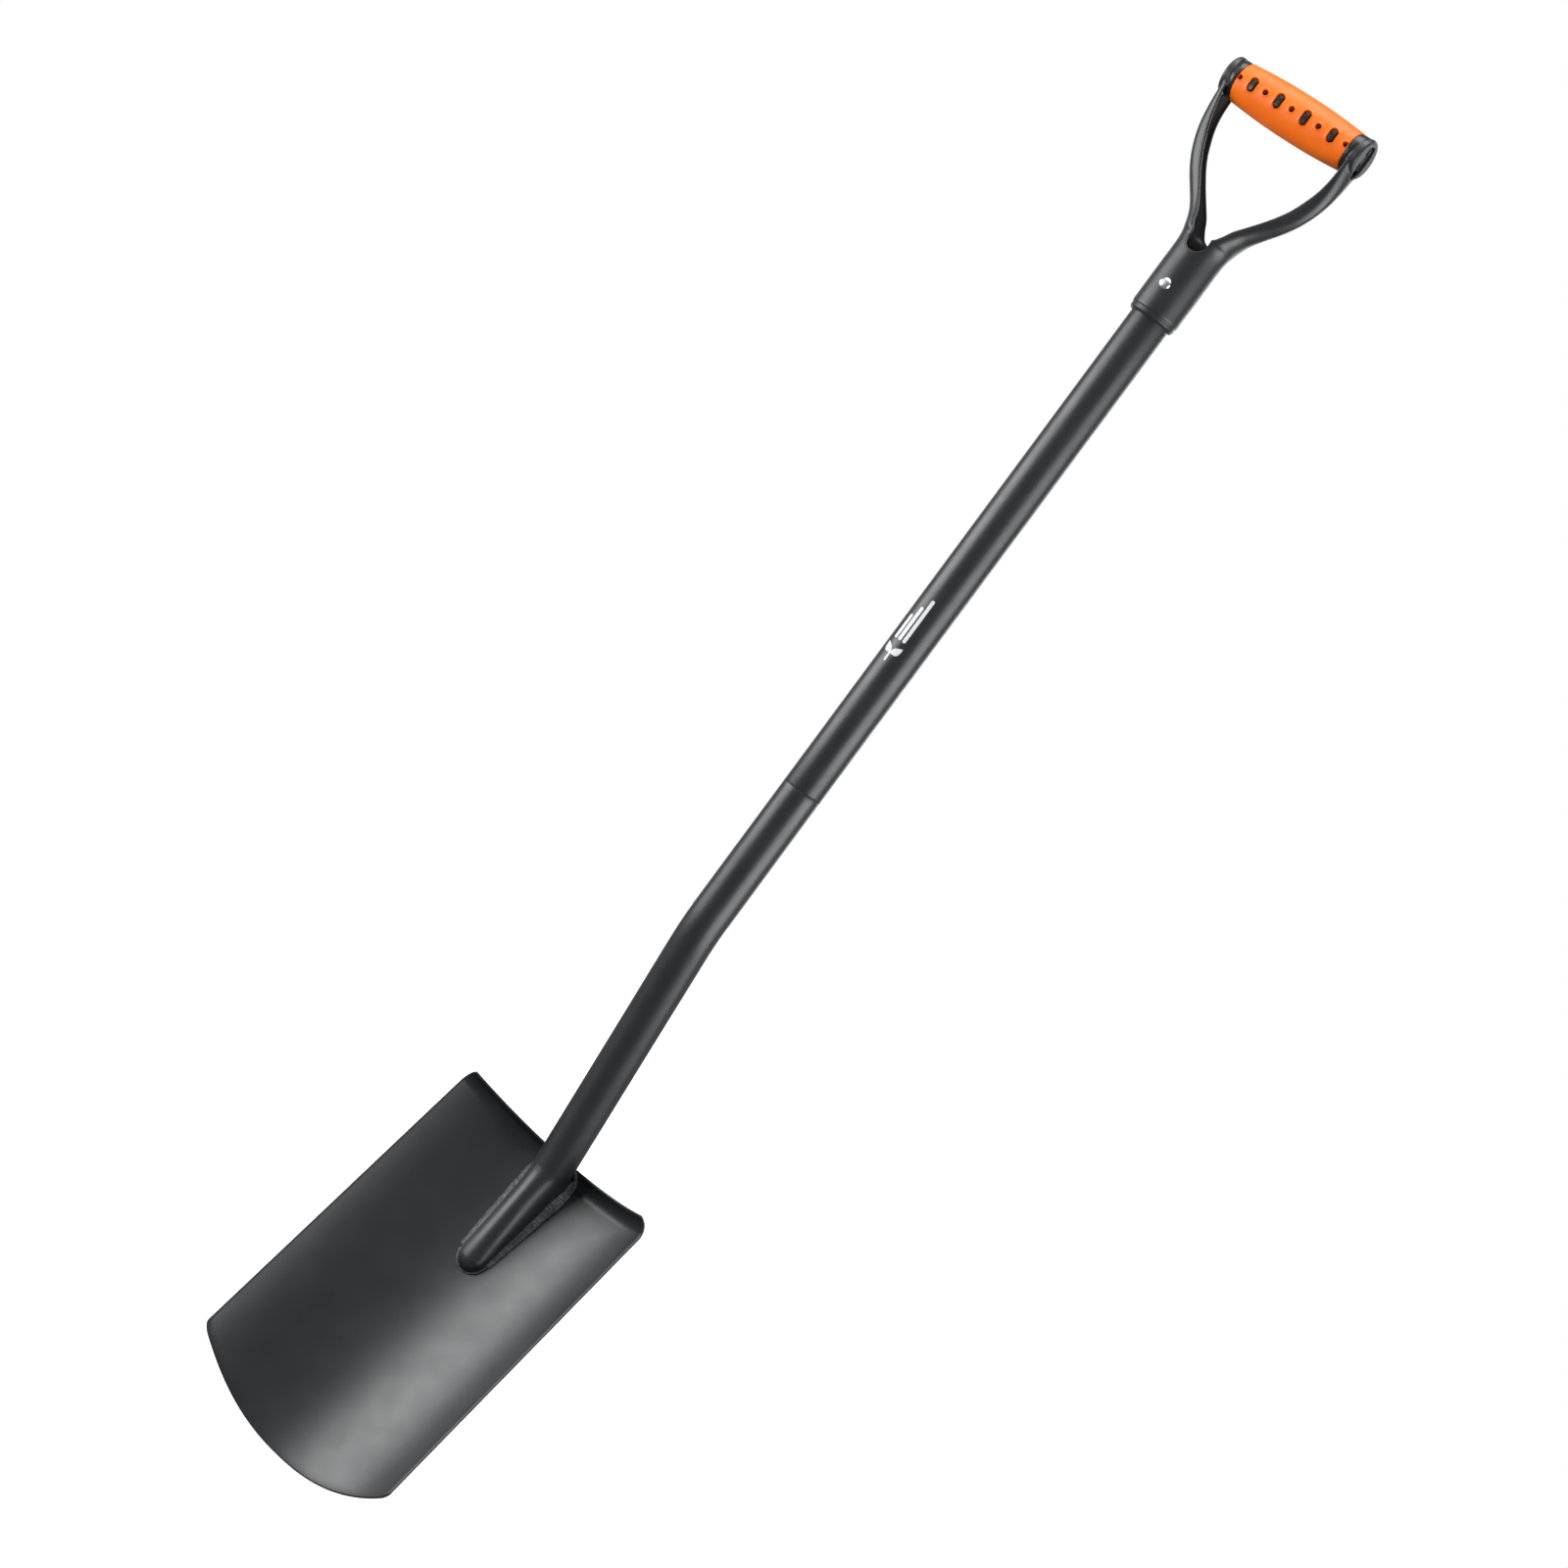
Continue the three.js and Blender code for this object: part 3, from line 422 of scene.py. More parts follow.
def powder_coat_material():
    """Satin charcoal powder coat: orange peel, faint cloudiness, and a painted highlight on the
    outer edges.
    """
    shader = Shader("powder_coat")
    cloud = shader.clouds(22, 4, 0, 1)
    colour = shader.blend(cloud, (0.0150, 0.0161, 0.0180), (0.0190, 0.0204, 0.0232))
    fleck = shader.range(shader.noise(1500, 1), 0.68, 0.76, 0, 0.12)
    colour = shader.blend(fleck, colour, (0.075, 0.08, 0.088))
    # painted highlight: convex outer edges are lightened as if they caught the light
    painted_edge_highlight = shader.edges()
    colour = shader.blend(painted_edge_highlight, colour, (0.036, 0.038, 0.042))
    rough = shader.clouds(60, 3, 0.37, 0.42)
    shader.set(Base_Color=colour, Roughness=rough, IOR=1.54)
    shader.bumps((shader.noise(420, 1), 0.03, 0.00010))
    return shader.material


def weld_coat_material():
    """Paint over rough weld metal: pits, spatter and a painted highlight on the high spots."""
    shader = Shader("weld_coat")
    cloud = shader.range(shader.noise(240, 4, 0.65), 0.35, 0.65, 0, 1)
    colour = shader.blend(cloud, (0.018, 0.0195, 0.022), (0.085, 0.09, 0.097))
    # painted highlight: the bead's high spots and edges are lightened as if they caught the light
    painted_edge_highlight = shader.edges()
    colour = shader.blend(painted_edge_highlight, colour, (0.26, 0.27, 0.28))
    rough = shader.clouds(400, 3, 0.26, 0.50)
    shader.set(Base_Color=colour, Roughness=rough, IOR=1.52)
    shader.bumps(
        (shader.noise(480, 5, 0.7), 0.55, 0.0006),
        (shader.noise(1700, 3), 0.35, 0.0002),
    )
    return shader.material


def zinc_material():
    """Bright zinc plate: soft spangle, fine turning streaks and a few dull patches."""
    shader = Shader("zinc_plate")
    spangle = shader.range(shader.cells(420), 0.0, 1.0, 0, 1)
    colour = shader.blend(spangle, (0.66, 0.69, 0.71), (0.86, 0.88, 0.89))
    dull = shader.range(shader.noise(90, 4), 0.55, 0.75, 0, 0.5)
    colour = shader.blend(dull, colour, (0.50, 0.52, 0.53))
    rough = shader.clouds(300, 3, 0.20, 0.36)
    shader.set(Base_Color=colour, Metallic=1.0, Roughness=rough)
    shader.bumps(
        (shader.noise(900, 2, stretch=(1, 1, 9)), 0.12, 0.00008),
        (shader.noise(300, 2), 0.10, 0.00015),
    )
    return shader.material


def orange_material():
    """Orange over-moulding: pebbled skin, slight fading and a soft sheen."""
    shader = Shader("orange_grip")
    cloud = shader.clouds(45, 3, 0, 1)
    colour = shader.blend(cloud, (0.96, 0.150, 0.002), (1.0, 0.180, 0.004))
    pebble = shader.range(shader.noise(1500, 2), 0.35, 0.7, 0, 0.35)
    colour = shader.blend(pebble, colour, (1.0, 0.225, 0.018))
    # painted shade: the orange is darkened in its hollows and creases (low pointiness), where shade
    # falls
    painted_recess_shade = shader.node("ShaderNodeNewGeometry").outputs["Pointiness"]
    painted_recess_shade = shader.range(painted_recess_shade, 0.40, 0.47, 0.65, 0.0)
    colour = shader.blend(painted_recess_shade, colour, (0.42, 0.055, 0.004))
    rough = shader.clouds(120, 3, 0.40, 0.50)
    shader.set(Base_Color=colour, Roughness=rough, IOR=1.42)
    shader.set(Subsurface_Weight=0.06, Subsurface_Scale=0.001)
    shader.bumps(
        (shader.noise(900, 1), 0.10, 0.00010),
        (shader.noise(160, 2), 0.08, 0.00030),
    )
    return shader.material


def black_plastic_material():
    """Glossy black moulding with flow marks and hairline scuffs."""
    shader = Shader("black_plastic")
    cloud = shader.clouds(70, 4, 0, 1)
    colour = shader.blend(cloud, (0.010, 0.0108, 0.012), (0.017, 0.018, 0.020))
    rough = shader.clouds(260, 4, 0.24, 0.36)
    shader.set(Base_Color=colour, Roughness=rough, IOR=1.5)
    shader.bumps(
        (shader.noise(900, 1), 0.06, 0.00008),
        (shader.noise(500, 1, stretch=(6, 1, 1)), 0.04, 0.00008),
    )
    return shader.material


def washer_material():
    """Matt black rubber with a dusty grain."""
    shader = Shader("black_washer")
    dust = shader.range(shader.noise(1400, 3), 0.5, 0.75, 0, 1)
    colour = shader.blend(dust, (0.008, 0.008, 0.008), (0.022, 0.022, 0.022))
    rough = shader.clouds(500, 2, 0.6, 0.8)
    shader.set(Base_Color=colour, Roughness=rough)
    shader.bumps((shader.noise(1100, 3), 0.3, 0.0001))
    return shader.material


def print_material():
    """White pad print, a little thin where the paint's orange peel stands up."""
    shader = Shader("white_print")
    thin = shader.range(shader.noise(1900, 3), 0.58, 0.72, 0, 0.6)
    colour = shader.blend(thin, (0.78, 0.79, 0.80), (0.42, 0.43, 0.44))
    rough = shader.clouds(200, 2, 0.45, 0.6)
    shader.set(Base_Color=colour, Roughness=rough)
    shader.bumps((shader.noise(620, 2), 0.12, 0.0001))
    return shader.material


POWDER_COAT = powder_coat_material()
WELD_COAT = weld_coat_material()
ZINC = zinc_material()
ORANGE = orange_material()
BLACK_PLASTIC = black_plastic_material()
WASHER_RUBBER = washer_material()
WHITE_PRINT = print_material()


# ---- blade frame ---------------------------------------------------------------------
# "along" runs down the blade and "out" leaves its face, as in the CAD source.

crank_down = np.array([0, math.sin(CRANK_ANGLE), -math.cos(CRANK_ANGLE)])
crank_out = np.array([0, -math.cos(CRANK_ANGLE), -math.sin(CRANK_ANGLE)])
along = np.array([0, -math.sin(BLADE_PITCH), -math.cos(BLADE_PITCH)])
out = np.array([0, -math.cos(BLADE_PITCH), math.sin(BLADE_PITCH)])
across = np.array([1.0, 0, 0])
tread_origin = (
    np.array([0, 0, -BEND_DROP]) + crank_down * CRANK_RUN - crank_out * TREAD_STANDOFF)


def blade_point(x, s, h):
    """Points across the blade, down the blade and off its flat."""
    x, s, h = (np.asarray(v, float)[..., None] for v in (x, s, h))
    return tread_origin + x * across + s * along + h * out


def dish_rise(x):
    return DISH_RADIUS - np.sqrt(DISH_RADIUS ** 2 - np.square(x))


def half_width(s):
    share = np.clip(np.asarray(s, float) / SIDE_LENGTH, 0, 1)
    return HALF_WIDTH_TOP + (HALF_WIDTH_BOTTOM - HALF_WIDTH_TOP) * share


def sheet_points(t, q, depth):
    """Points of the blade sheet: t across, q down it from the curl, depth behind its face."""
    curl = np.clip(-q / TREAD_RADIUS, 0, TREAD_TURN)
    lip = np.maximum(-q - TREAD_RADIUS * TREAD_TURN, 0)
    s = CURL_START + np.maximum(q, 0)
    x = t * half_width(s)
    lean = np.arcsin(x / DISH_RADIUS)[..., None]
    inward = np.cos(lean) * out - np.sin(lean) * across
    sin, cos = np.sin(curl)[..., None], np.cos(curl)[..., None]
    point = blade_point(x, s, dish_rise(x))
    point = point - along * (TREAD_RADIUS * sin + lip[..., None] * cos)
    point = point + inward * (TREAD_RADIUS * (1 - cos) + lip[..., None] * sin)
    face = inward * cos + along * sin
    return point - face * np.asarray(depth, float)[..., None]


def cut_length(t):
    """Sheet length from the curl down to the cutting edge at t."""
    reach = np.abs(t)
    into = np.clip((reach - CORNER_START) / (1 - CORNER_START), 0, 1)
    corner = CORNER_CUT * (1 - np.sqrt(1 - into ** 2))
    return SIDE_LENGTH - CURL_START + EDGE_BULGE * (1 - reach ** 2.3) - corner


def lip_length(t):
    """Sheet length round the curl to the tread's lip at t, with rounded corners."""
    start = 1 - LIP_CORNER / HALF_WIDTH_TOP
    into = np.clip((np.abs(t) - start) / (1 - start), 0, 1)
    full = TREAD_RADIUS * TREAD_TURN + TREAD_LIP
    return full - LIP_CORNER * (1 - np.sqrt(1 - into ** 2))


def blade_columns():
    """Places across the blade and the sheet's half thickness there."""
    half = SHEET_THICKNESS / 2
    inner = np.linspace(-CORNER_START, CORNER_START, 91)
    corner = 1 - (1 - CORNER_START) * (1 - np.sin(np.linspace(0.12, 1.0, 12) * math.pi / 2))
    limit = 1 - half / HALF_WIDTH_TOP
    corner = corner[corner < limit]
    rim = np.linspace(0, math.pi / 2, 6)
    rim_t = 1 - half * (1 - np.sin(rim)) / HALF_WIDTH_TOP
    right = np.concatenate([corner, rim_t])
    thick = np.concatenate([np.full(len(corner), half), half * np.cos(rim)])
    t = np.concatenate([-right[::-1], inner, right])
    thickness = np.concatenate([thick[::-1], np.full(len(inner), half), thick])
    return t, thickness


def build_blade():
    half = SHEET_THICKNESS / 2
    t, thick = blade_columns()
    body = np.linspace(0, 1, 46)[1:]
    curl = np.linspace(1, 0, 19)
    turn = np.linspace(0, math.pi, 7)[1:-1]
    rings = []
    for place, thin in zip(t, thick):
        top = -(lip_length(place) - half)
        bottom = cut_length(place) - half
        face = np.concatenate([top * curl, bottom * body])
        near = np.full(len(face), half - thin)
        q = np.concatenate([
            face, bottom + half * np.sin(turn), face[::-1], top - half * np.sin(turn)])
        edge = half - thin * np.cos(turn)
        depth = np.concatenate([near, edge, np.full(len(face), half + thin), edge[::-1]])
        rings.append(sheet_points(np.full(len(q), place), q, depth))
    blade = skin("blade_pan", rings, cap=False)
    return finish_piece(blade, POWDER_COAT, "blade_half", "powder_coat", "blade")


# ---- lower tube ----------------------------------------------------------------------

# Foot stations in the blade frame: underside s and h, crown s and h, half width, and how
# far the section has changed from round to flat-bottomed.
FOOT = [
    (2, 3.53, 19.4, 28.0, 15, 0),
    (8, 1.2, 25, 26.2, 15, 0.35),
    (20, 1.2, 35, 23.9, 14.8, 0.8),
    (35, 1.2, 48, 21.2, 14.2, 1),
    (55, 1.2, 64, 17.8, 13.5, 1),
    (75, 1.2, 81, 14.2, 12.7, 1),
    (93, 1.2, 96, 10.9, 11.9, 1),
    (100, 1.2, 101.3, 9.2, 9.8, 1),
    (104.5, 1.2, 105, 6.4, 6.4, 1),
    (107, 1.2, 107, 3, 2.5, 1),
]


def foot_half_width(s):
    table = np.array(FOOT, float)
    return np.interp(s, table[:, 0], table[:, 4])


def foot_ring(row, angles):
    under = blade_point(0, row[0], row[1])
    crown = blade_point(0, row[2], row[3])
    height = np.linalg.norm(crown - under)
    rise = (crown - under) / height
    round_lift = height / 2 * (1 + np.sin(angles))
    arched = height * np.maximum(0, np.sin(angles))
    flat = min(max(row[5], 0), 1)
    lift = round_lift + (arched - round_lift) * flat
    side = row[4] * np.cos(angles)
    return under + lift[:, None] * rise + side[:, None] * across


def crank_rings(radius, heights, angles):
    """Rings of the straight mouth at the given heights, then round the bend."""
    rings = []
    for z in heights:
        rings.append(np.stack([
            radius * np.cos(angles), -radius * np.sin(angles), np.full(len(angles), z)], -1))
    start = -BEND_DROP + BEND_RADIUS * math.tan(CRANK_ANGLE / 2)
    for tilt in np.linspace(0, CRANK_ANGLE, 13):
        centre = np.array([
            0, BEND_RADIUS * (1 - math.cos(tilt)), start - BEND_RADIUS * math.sin(tilt)])
        front = np.array([0, -math.cos(tilt), -math.sin(tilt)])
        rings.append(
            centre + radius * (np.cos(angles)[:, None] * across + np.sin(angles)[:, None] * front))
    return rings


def build_lower_tube():
    angles = np.linspace(0, 2 * math.pi, TUBE_SIDES, endpoint=False)
    mouth = -WASHER / 2
    inner = TUBE_RADIUS - TUBE_WALL
    rings = []
    for radius, z in (
            (0.01, mouth - 60), (inner, mouth - 60), (inner, mouth - 0.2), (inner + 0.2, mouth),
            (TUBE_RADIUS - 0.2, mouth), (TUBE_RADIUS - 0.06, mouth - 0.06),
            (TUBE_RADIUS, mouth - 0.2)):
        rings += crank_rings(radius, [z], angles)[:1]
    rings += crank_rings(TUBE_RADIUS, np.linspace(mouth - 4, -100, 8), angles)
    rings += [foot_ring(row, angles) for row in catmull_rom(FOOT, 6)]
    tube = skin("lower_tube_skin", rings)
    return finish_piece(tube, POWDER_COAT, "blade_half", "powder_coat", "lower_tube")


# ---- welds ---------------------------------------------------------------------------

def bead(name, centres, sides, ups, wide, tall, *nodes):
    """Rippled weld bead laid along centres, spread along "sides" and raised along "ups"."""
    steps = np.linalg.norm(np.diff(centres, axis=0), axis=1)
    travel = np.concatenate([[0], np.cumsum(steps)])
    angles = np.linspace(0, 2 * math.pi, 44, endpoint=False)
    phase = travel[:, None] / RIPPLE_PITCH + 0.28 * np.cos(angles)
    ripple = np.abs(np.sin(phase * math.pi)) ** 0.6
    ends = np.clip(np.minimum(travel, travel[-1] - travel) / 3.0, 0, 1)
    ends = np.sqrt(1 - (1 - ends) ** 2)[:, None]
    uneven = wobble(centres, 9.0, 0.16)[:, None]
    ridges = sum(np.exp(-np.square((angles - crest) / 0.26)) for crest in (0.7, 2.3))
    size = (0.82 + 0.12 * ripple + 0.22 * ridges + uneven) * np.maximum(ends, 0.02)
    spread = (size * wide[:, None] * np.cos(angles))[..., None]
    raised = (size * tall[:, None] * np.sin(angles))[..., None]
    rings = centres[:, None] + spread * sides[:, None] + raised * ups[:, None]
    rough = wobble(rings, 1.5, 0.34).reshape(rings.shape[:2])[..., None]
    rings = rings + rough * ups[:, None]
    made = skin(name, rings)
    return finish_piece(made, WELD_COAT, "blade_half", "weld_coat", *nodes)


def build_side_weld(side, name, node):
    s = np.linspace(CURL_START - 9, 96, 280)
    share = (s - s[0]) / (s[-1] - s[0])
    leg = WELD_TOP[side] + (WELD_TOE - WELD_TOP[side]) * share
    leg = leg * np.interp(share, [0, 0.2, 1], [0.35, 1, 1])
    x = side * (foot_half_width(s) + WELD_REACH[side] * leg)
    centres = sheet_points(x / half_width(s), s - CURL_START, -0.16 * leg)
    tilt = math.radians(24)
    spread = unit(side * across * math.cos(tilt) - out * math.sin(tilt))
    raised = unit(out * math.cos(tilt) + side * across * math.sin(tilt))
    sides = np.tile(spread, (len(s), 1))
    ups = np.tile(raised, (len(s), 1))
    return bead(name, centres, sides, ups, 0.88 * leg, 0.66 * leg, node)


def build_toe_weld():
    turn = np.linspace(-0.12, math.pi + 0.12, 130)
    x = 11.6 * np.cos(turn)
    s = 95 + 11.6 * np.sin(turn)
    centres = blade_point(x, s, dish_rise(x) + 0.5)
    sides = np.cos(turn)[:, None] * across + np.sin(turn)[:, None] * along
    ups = np.tile(out, (len(turn), 1))
    wide = np.full(len(turn), 1.5)
    return bead("weld_bead_toe", centres, sides, ups, wide, 0.7 * wide, "weld_toe")


def build_tread_weld(side, name):
    """Short bead where the tread's curl runs up against the side of the tube."""
    q = np.linspace(-3, -17, 60)
    edge = np.interp(q, [-17, -8, -3], [13.4, 15.0, 16.4])
    centres = sheet_points(side * edge / HALF_WIDTH_TOP, q, np.full(len(q), -0.4))
    sides = np.tile(side * across, (len(q), 1))
    ups = unit_rows(np.cross(np.gradient(centres, axis=0), sides))
    wide = np.full(len(q), 2.6)
    return bead(name, centres, sides, ups, wide, 0.8 * wide)


def unit_rows(rows):
    return rows / np.linalg.norm(rows, axis=1)[:, None]


# ---- screwed joint -------------------------------------------------------------------

def thread_radius(height, angle, root, crest, shares):
    """Radius of a right-hand thread whose profile turns at four shares of the pitch."""
    place = (height / THREAD_PITCH - angle / (2 * math.pi) - shares[0]) % 1 + shares[0]
    return np.interp(place, [*shares, shares[0] + 1], [root, crest, crest, root, root])


def build_stud():
    angles = np.linspace(0, 2 * math.pi, 72, endpoint=False)
    heights = np.linspace(-THREAD_LENGTH, WASHER / 2 + 0.3, 220)
    rows = []
    shares = (0, 0.3, 0.45, 0.75)
    for z in heights:
        lead = STUD_ROOT - 0.6 + 1.0 * (z + THREAD_LENGTH)
        radius = thread_radius(z, angles, STUD_ROOT, STUD_CREST, shares)
        radius = np.minimum(radius, lead)
        rows.append(np.stack([
            radius * np.cos(angles), radius * np.sin(angles), np.full(len(angles), z)], -1))
    threads = skin("stud_thread", rows)
    shank_radius = TUBE_RADIUS - TUBE_WALL - 0.3
    low, high = WASHER / 2, 30.0
    shank = turned("stud_shank", rounded([
        (0, low, 0), (shank_radius, low, 0.5), (shank_radius, high, 1.5), (0, high, 0)]))
    stud = join([threads, shank], "stud_thread")
    tidy_mesh(stud)
    stud.data.set_sharp_from_angle(angle=math.radians(32))
    return finish_piece(stud, ZINC, "handle_half", "zinc_plate", "thread_stud")


def build_socket_thread():
    angles = np.linspace(0, 2 * math.pi, 72, endpoint=False)
    mouth = -WASHER / 2
    bottom = mouth - SLEEVE_LENGTH
    outer = TUBE_RADIUS - TUBE_WALL - 0.3
    shares = (-0.13, 0.2, 0.55, 0.88)
    rows = []
    for z in np.linspace(bottom, mouth, 240):
        radius = thread_radius(
            z, angles, STUD_ROOT + THREAD_CLEARANCE, STUD_CREST + THREAD_CLEARANCE, shares)
        radius = np.maximum(radius, STUD_CREST + 0.85 - 0.9 * (mouth - z))
        rows.append(np.stack([
            radius * np.cos(angles), radius * np.sin(angles), np.full(len(angles), z)], -1))
    for radius, z in (
            (outer - 0.5, mouth), (outer, mouth - 0.5), (outer, bottom + 0.5),
            (outer - 0.5, bottom)):
        rows.append(turned_points([(radius, z)], len(angles))[0])
    rings = np.array(rows)
    faces = grid_faces(len(rings), len(angles), wrap_rows=True)
    sleeve = make_object("socket_thread", rings, faces)
    sleeve.data.set_sharp_from_angle(angle=math.radians(32))
    return finish_piece(sleeve, ZINC, "blade_half", "zinc_plate", "thread_socket")


def build_washer():
    half = WASHER / 2 - 0.03
    ring = turned("washer_ring", rounded([
        (STUD_CREST + 0.7, -half, 0.15), (TUBE_RADIUS - 0.05, -half, 0.15),
        (TUBE_RADIUS - 0.05, half, 0.15), (STUD_CREST + 0.7, half, 0.15)]))
    return finish_piece(ring, WASHER_RUBBER, "joint_washer", "black_washer", "joint_washer")


def build_plugs(height, name, body):
    """Weld metal that fills two radial holes behind the tube."""
    for side, hand in SIDES:
        bearing = math.radians(90 - 45 * side)
        build_plug(height, bearing, name + "_" + hand, body, name + "_weld_" + hand)


def build_plug(height, bearing, name, body, node):
    """Weld metal in one radial hole through the tube, dressed nearly flush."""
    rings = []
    turn = np.linspace(0, 2 * math.pi, 32, endpoint=False)
    stations = [(0.02, 1), (0.3, 1), (0.6, 1), (0.85, 1), (1.0, 0.8), (1.04, 0), (1.04, -3)]
    for share, raised in stations:
        w = PLUG_RADIUS * share * np.cos(turn)
        z = height + PLUG_RADIUS * share * np.sin(turn)
        swirl = wobble(np.stack([w, z, np.zeros_like(w)], -1), 1.2, 0.12)
        lift = 0.22 * (1 - min(share, 1) ** 2) + 0.04
        radius = TUBE_RADIUS + (lift + swirl * 0.6 if raised > 0 else min(raised, 0) * 0.5)
        around = bearing + w / TUBE_RADIUS
        rings.append(np.stack([radius * np.cos(around), radius * np.sin(around), z], -1))
    plug = skin(name, rings)
    return finish_piece(plug, WELD_COAT, body, "weld_coat", node)


# ---- upper tube and its print --------------------------------------------------------

def build_upper_tube():
    inner = TUBE_RADIUS - TUBE_WALL
    low = WASHER / 2
    corners = [(inner, low, 0.2), (TUBE_RADIUS, low, 0.2)]
    for z in (60, 120, 180, 240, 300, 360):
        corners.append((TUBE_RADIUS, z, 0))
    corners += [(TUBE_RADIUS, TUBE_TOP, 0.4), (inner, TUBE_TOP, 0.3)]
    tube = turned("upper_tube_skin", rounded(corners))
    return finish_piece(tube, POWDER_COAT, "handle_half", "powder_coat", "upper_tube")


def print_patch(name, rise, sweep):
    """Thin print on the tube from grids of height and of distance round it."""
    shells = []
    for radius in (TUBE_RADIUS + 0.05, TUBE_RADIUS - 0.08):
        around = MARK_AZIMUTH + sweep / TUBE_RADIUS
        shells.append(np.stack([
            radius * np.sin(around), -radius * np.cos(around), MARK_HEIGHT + rise], -1))
    rings = np.concatenate([shells[0], shells[1][:, ::-1]], axis=1)
    return skin(name, rings)


def print_strip(name, middle, sideways, length, width):
    """Long strip with round ends, running up the tube."""
    share = np.cos(np.linspace(math.pi, 0, 41))
    rise = share * length / 2
    past = np.maximum(np.abs(rise) - (length - width) / 2, 0)
    half = np.sqrt(np.maximum((width / 2) ** 2 - past ** 2, 1e-4))
    spread = np.linspace(-1, 1, 7)
    return print_patch(
        name, middle + rise[:, None] + 0 * spread, sideways + half[:, None] * spread)


def print_leaf(name, foot, sideways, length, width, lean):
    """Pointed leaf growing from its foot at a lean."""
    share = np.linspace(0, 1, 25)
    half = width / 2 * np.sin(math.pi * share ** 0.8) + 0.02
    spread = np.linspace(-1, 1, 7)
    run = length * share[:, None] + 0 * spread
    side = half[:, None] * spread + 0.8 * np.sin(math.pi * share[:, None]) * np.sign(lean)
    cos, sin = math.cos(lean), math.sin(lean)
    return print_patch(name, foot + run * cos - side * sin, sideways + run * sin + side * cos)


def build_mark():
    """Generic mark in place of lettering: a sprout beside three plain strips."""
    parts = [
        print_leaf("leaf_a", -20, 0.3, 9.6, 5.4, 0.8),
        print_leaf("leaf_b", -20, -0.3, 9.6, 5.4, -0.8),
        print_strip("stem", -22.6, 0, 8.4, 1.7),
        print_strip("strip_a", 8.5, 4.2, 36, 2.7),
        print_strip("strip_b", 4.5, 0, 28, 2.7),
        print_strip("strip_c", 0.5, -4.2, 20, 2.7),
    ]
    mark = join(parts, "printed_mark")
    tidy_mesh(mark)
    return finish_piece(mark, WHITE_PRINT, "handle_half", "powder_coat")


# ---- yoke ----------------------------------------------------------------------------

# Stations up one prong: x and z of the outer wall, x and z of the open edge, and half the
# front-to-back width.
PRONG = [
    (SOCKET_RADIUS, 442, -0.1, 442, SOCKET_RADIUS),
    (SOCKET_RADIUS, 458, -0.1, 460, SOCKET_RADIUS),
    (19.4, 465.5, 0.6, 467.4, 18.2),
    (20.2, 470, 8, 470.2, 17),
    (21.6, 474.4, 12, 475.6, 15.4),
    (25, 481, 15.4, 483, 13),
    (29.4, 487, 20.6, 490.4, 10.8),
    (34.3, 493, 26.8, 498.6, 9.2),
    (42.3, 503, 33.8, 508.4, 8),
    (48.6, 513, 39.4, 517.6, 7.6),
    (53.3, 523.4, 43.6, 526.8, 7.8),
    (56.4, 533.8, 47.2, 535.8, 8.6),
    (58, 544.2, 49.8, 545.4, 10),
    (58.6, 554.4, 51.4, 555, 12),
    (58.8, 564.6, 52.4, 564.6, 14),
]


def lean_at(z):
    share = np.clip((z - FRONT_NOTCH) / (GRIP_HEIGHT - FRONT_NOTCH), 0, 1)
    return -GRIP_LEAN * share * share * (3 - 2 * share)


def prong(side, inset, opening, name):
    """One prong's solid, shrunk by "inset" and opened past its edge."""
    angles = np.linspace(-math.pi / 2, math.pi / 2, 29)
    rings = []
    for wall_x, wall_z, edge_x, edge_z, half in catmull_rom(PRONG, 5):
        wall = np.array([side * wall_x, lean_at(wall_z), wall_z])
        edge = np.array([side * edge_x, lean_at(edge_z), edge_z])
        reach = np.linalg.norm(wall - edge)
        way = (wall - edge) / reach
        bulge = (reach - inset) * np.cos(angles)
        depth = (half - inset) * np.sin(angles)
        ring = edge + bulge[:, None] * way + depth[:, None] * np.array([0, 1.0, 0])
        if opening:
            ring = np.vstack([ring, ring[-1] - opening * way, ring[0] - opening * way])
        rings.append(ring)
    return skin(name, rings)


def eye_cup(side):
    """Solid cup round the grip's end, its skirt deep below and shallow on top."""
    angles = np.linspace(0, 2 * math.pi, 96, endpoint=False)
    rim = EYE_OUTER - SKIRT_DEPTH + EYE_RADIUS * np.sin(angles) * math.tan(SKIRT_SLANT)
    rings = [rim]
    radii = [EYE_RADIUS]
    for turn in np.linspace(0, math.pi / 2, 6):
        rings.append(np.full(len(angles), EYE_OUTER - 1.4 * (1 - math.sin(turn))))
        radii.append(EYE_RADIUS - 1.4 * (1 - math.cos(turn)))
    points = [
        np.stack([side * x, r * np.cos(angles) - GRIP_LEAN, r * np.sin(angles) + GRIP_HEIGHT], -1)
        for x, r in zip(rings, radii)]
    return skin("cup", points)


def prism(name, outline, place):
    """Straight cutter: an outline of (a, b) carried from 0 to 1 by "place"."""
    rings = [place(outline[:, 0], outline[:, 1], end) for end in (0.0, 1.0)]
    return skin(name, rings)


def stadium(half, straight, steps=12):
    upper = np.linspace(0, math.pi, steps)
    lower = upper + math.pi
    a = np.concatenate([half * np.cos(upper), half * np.cos(lower)])
    b = np.concatenate([straight + half * np.sin(upper), -straight + half * np.sin(lower)])
    return np.stack([a, b], -1)


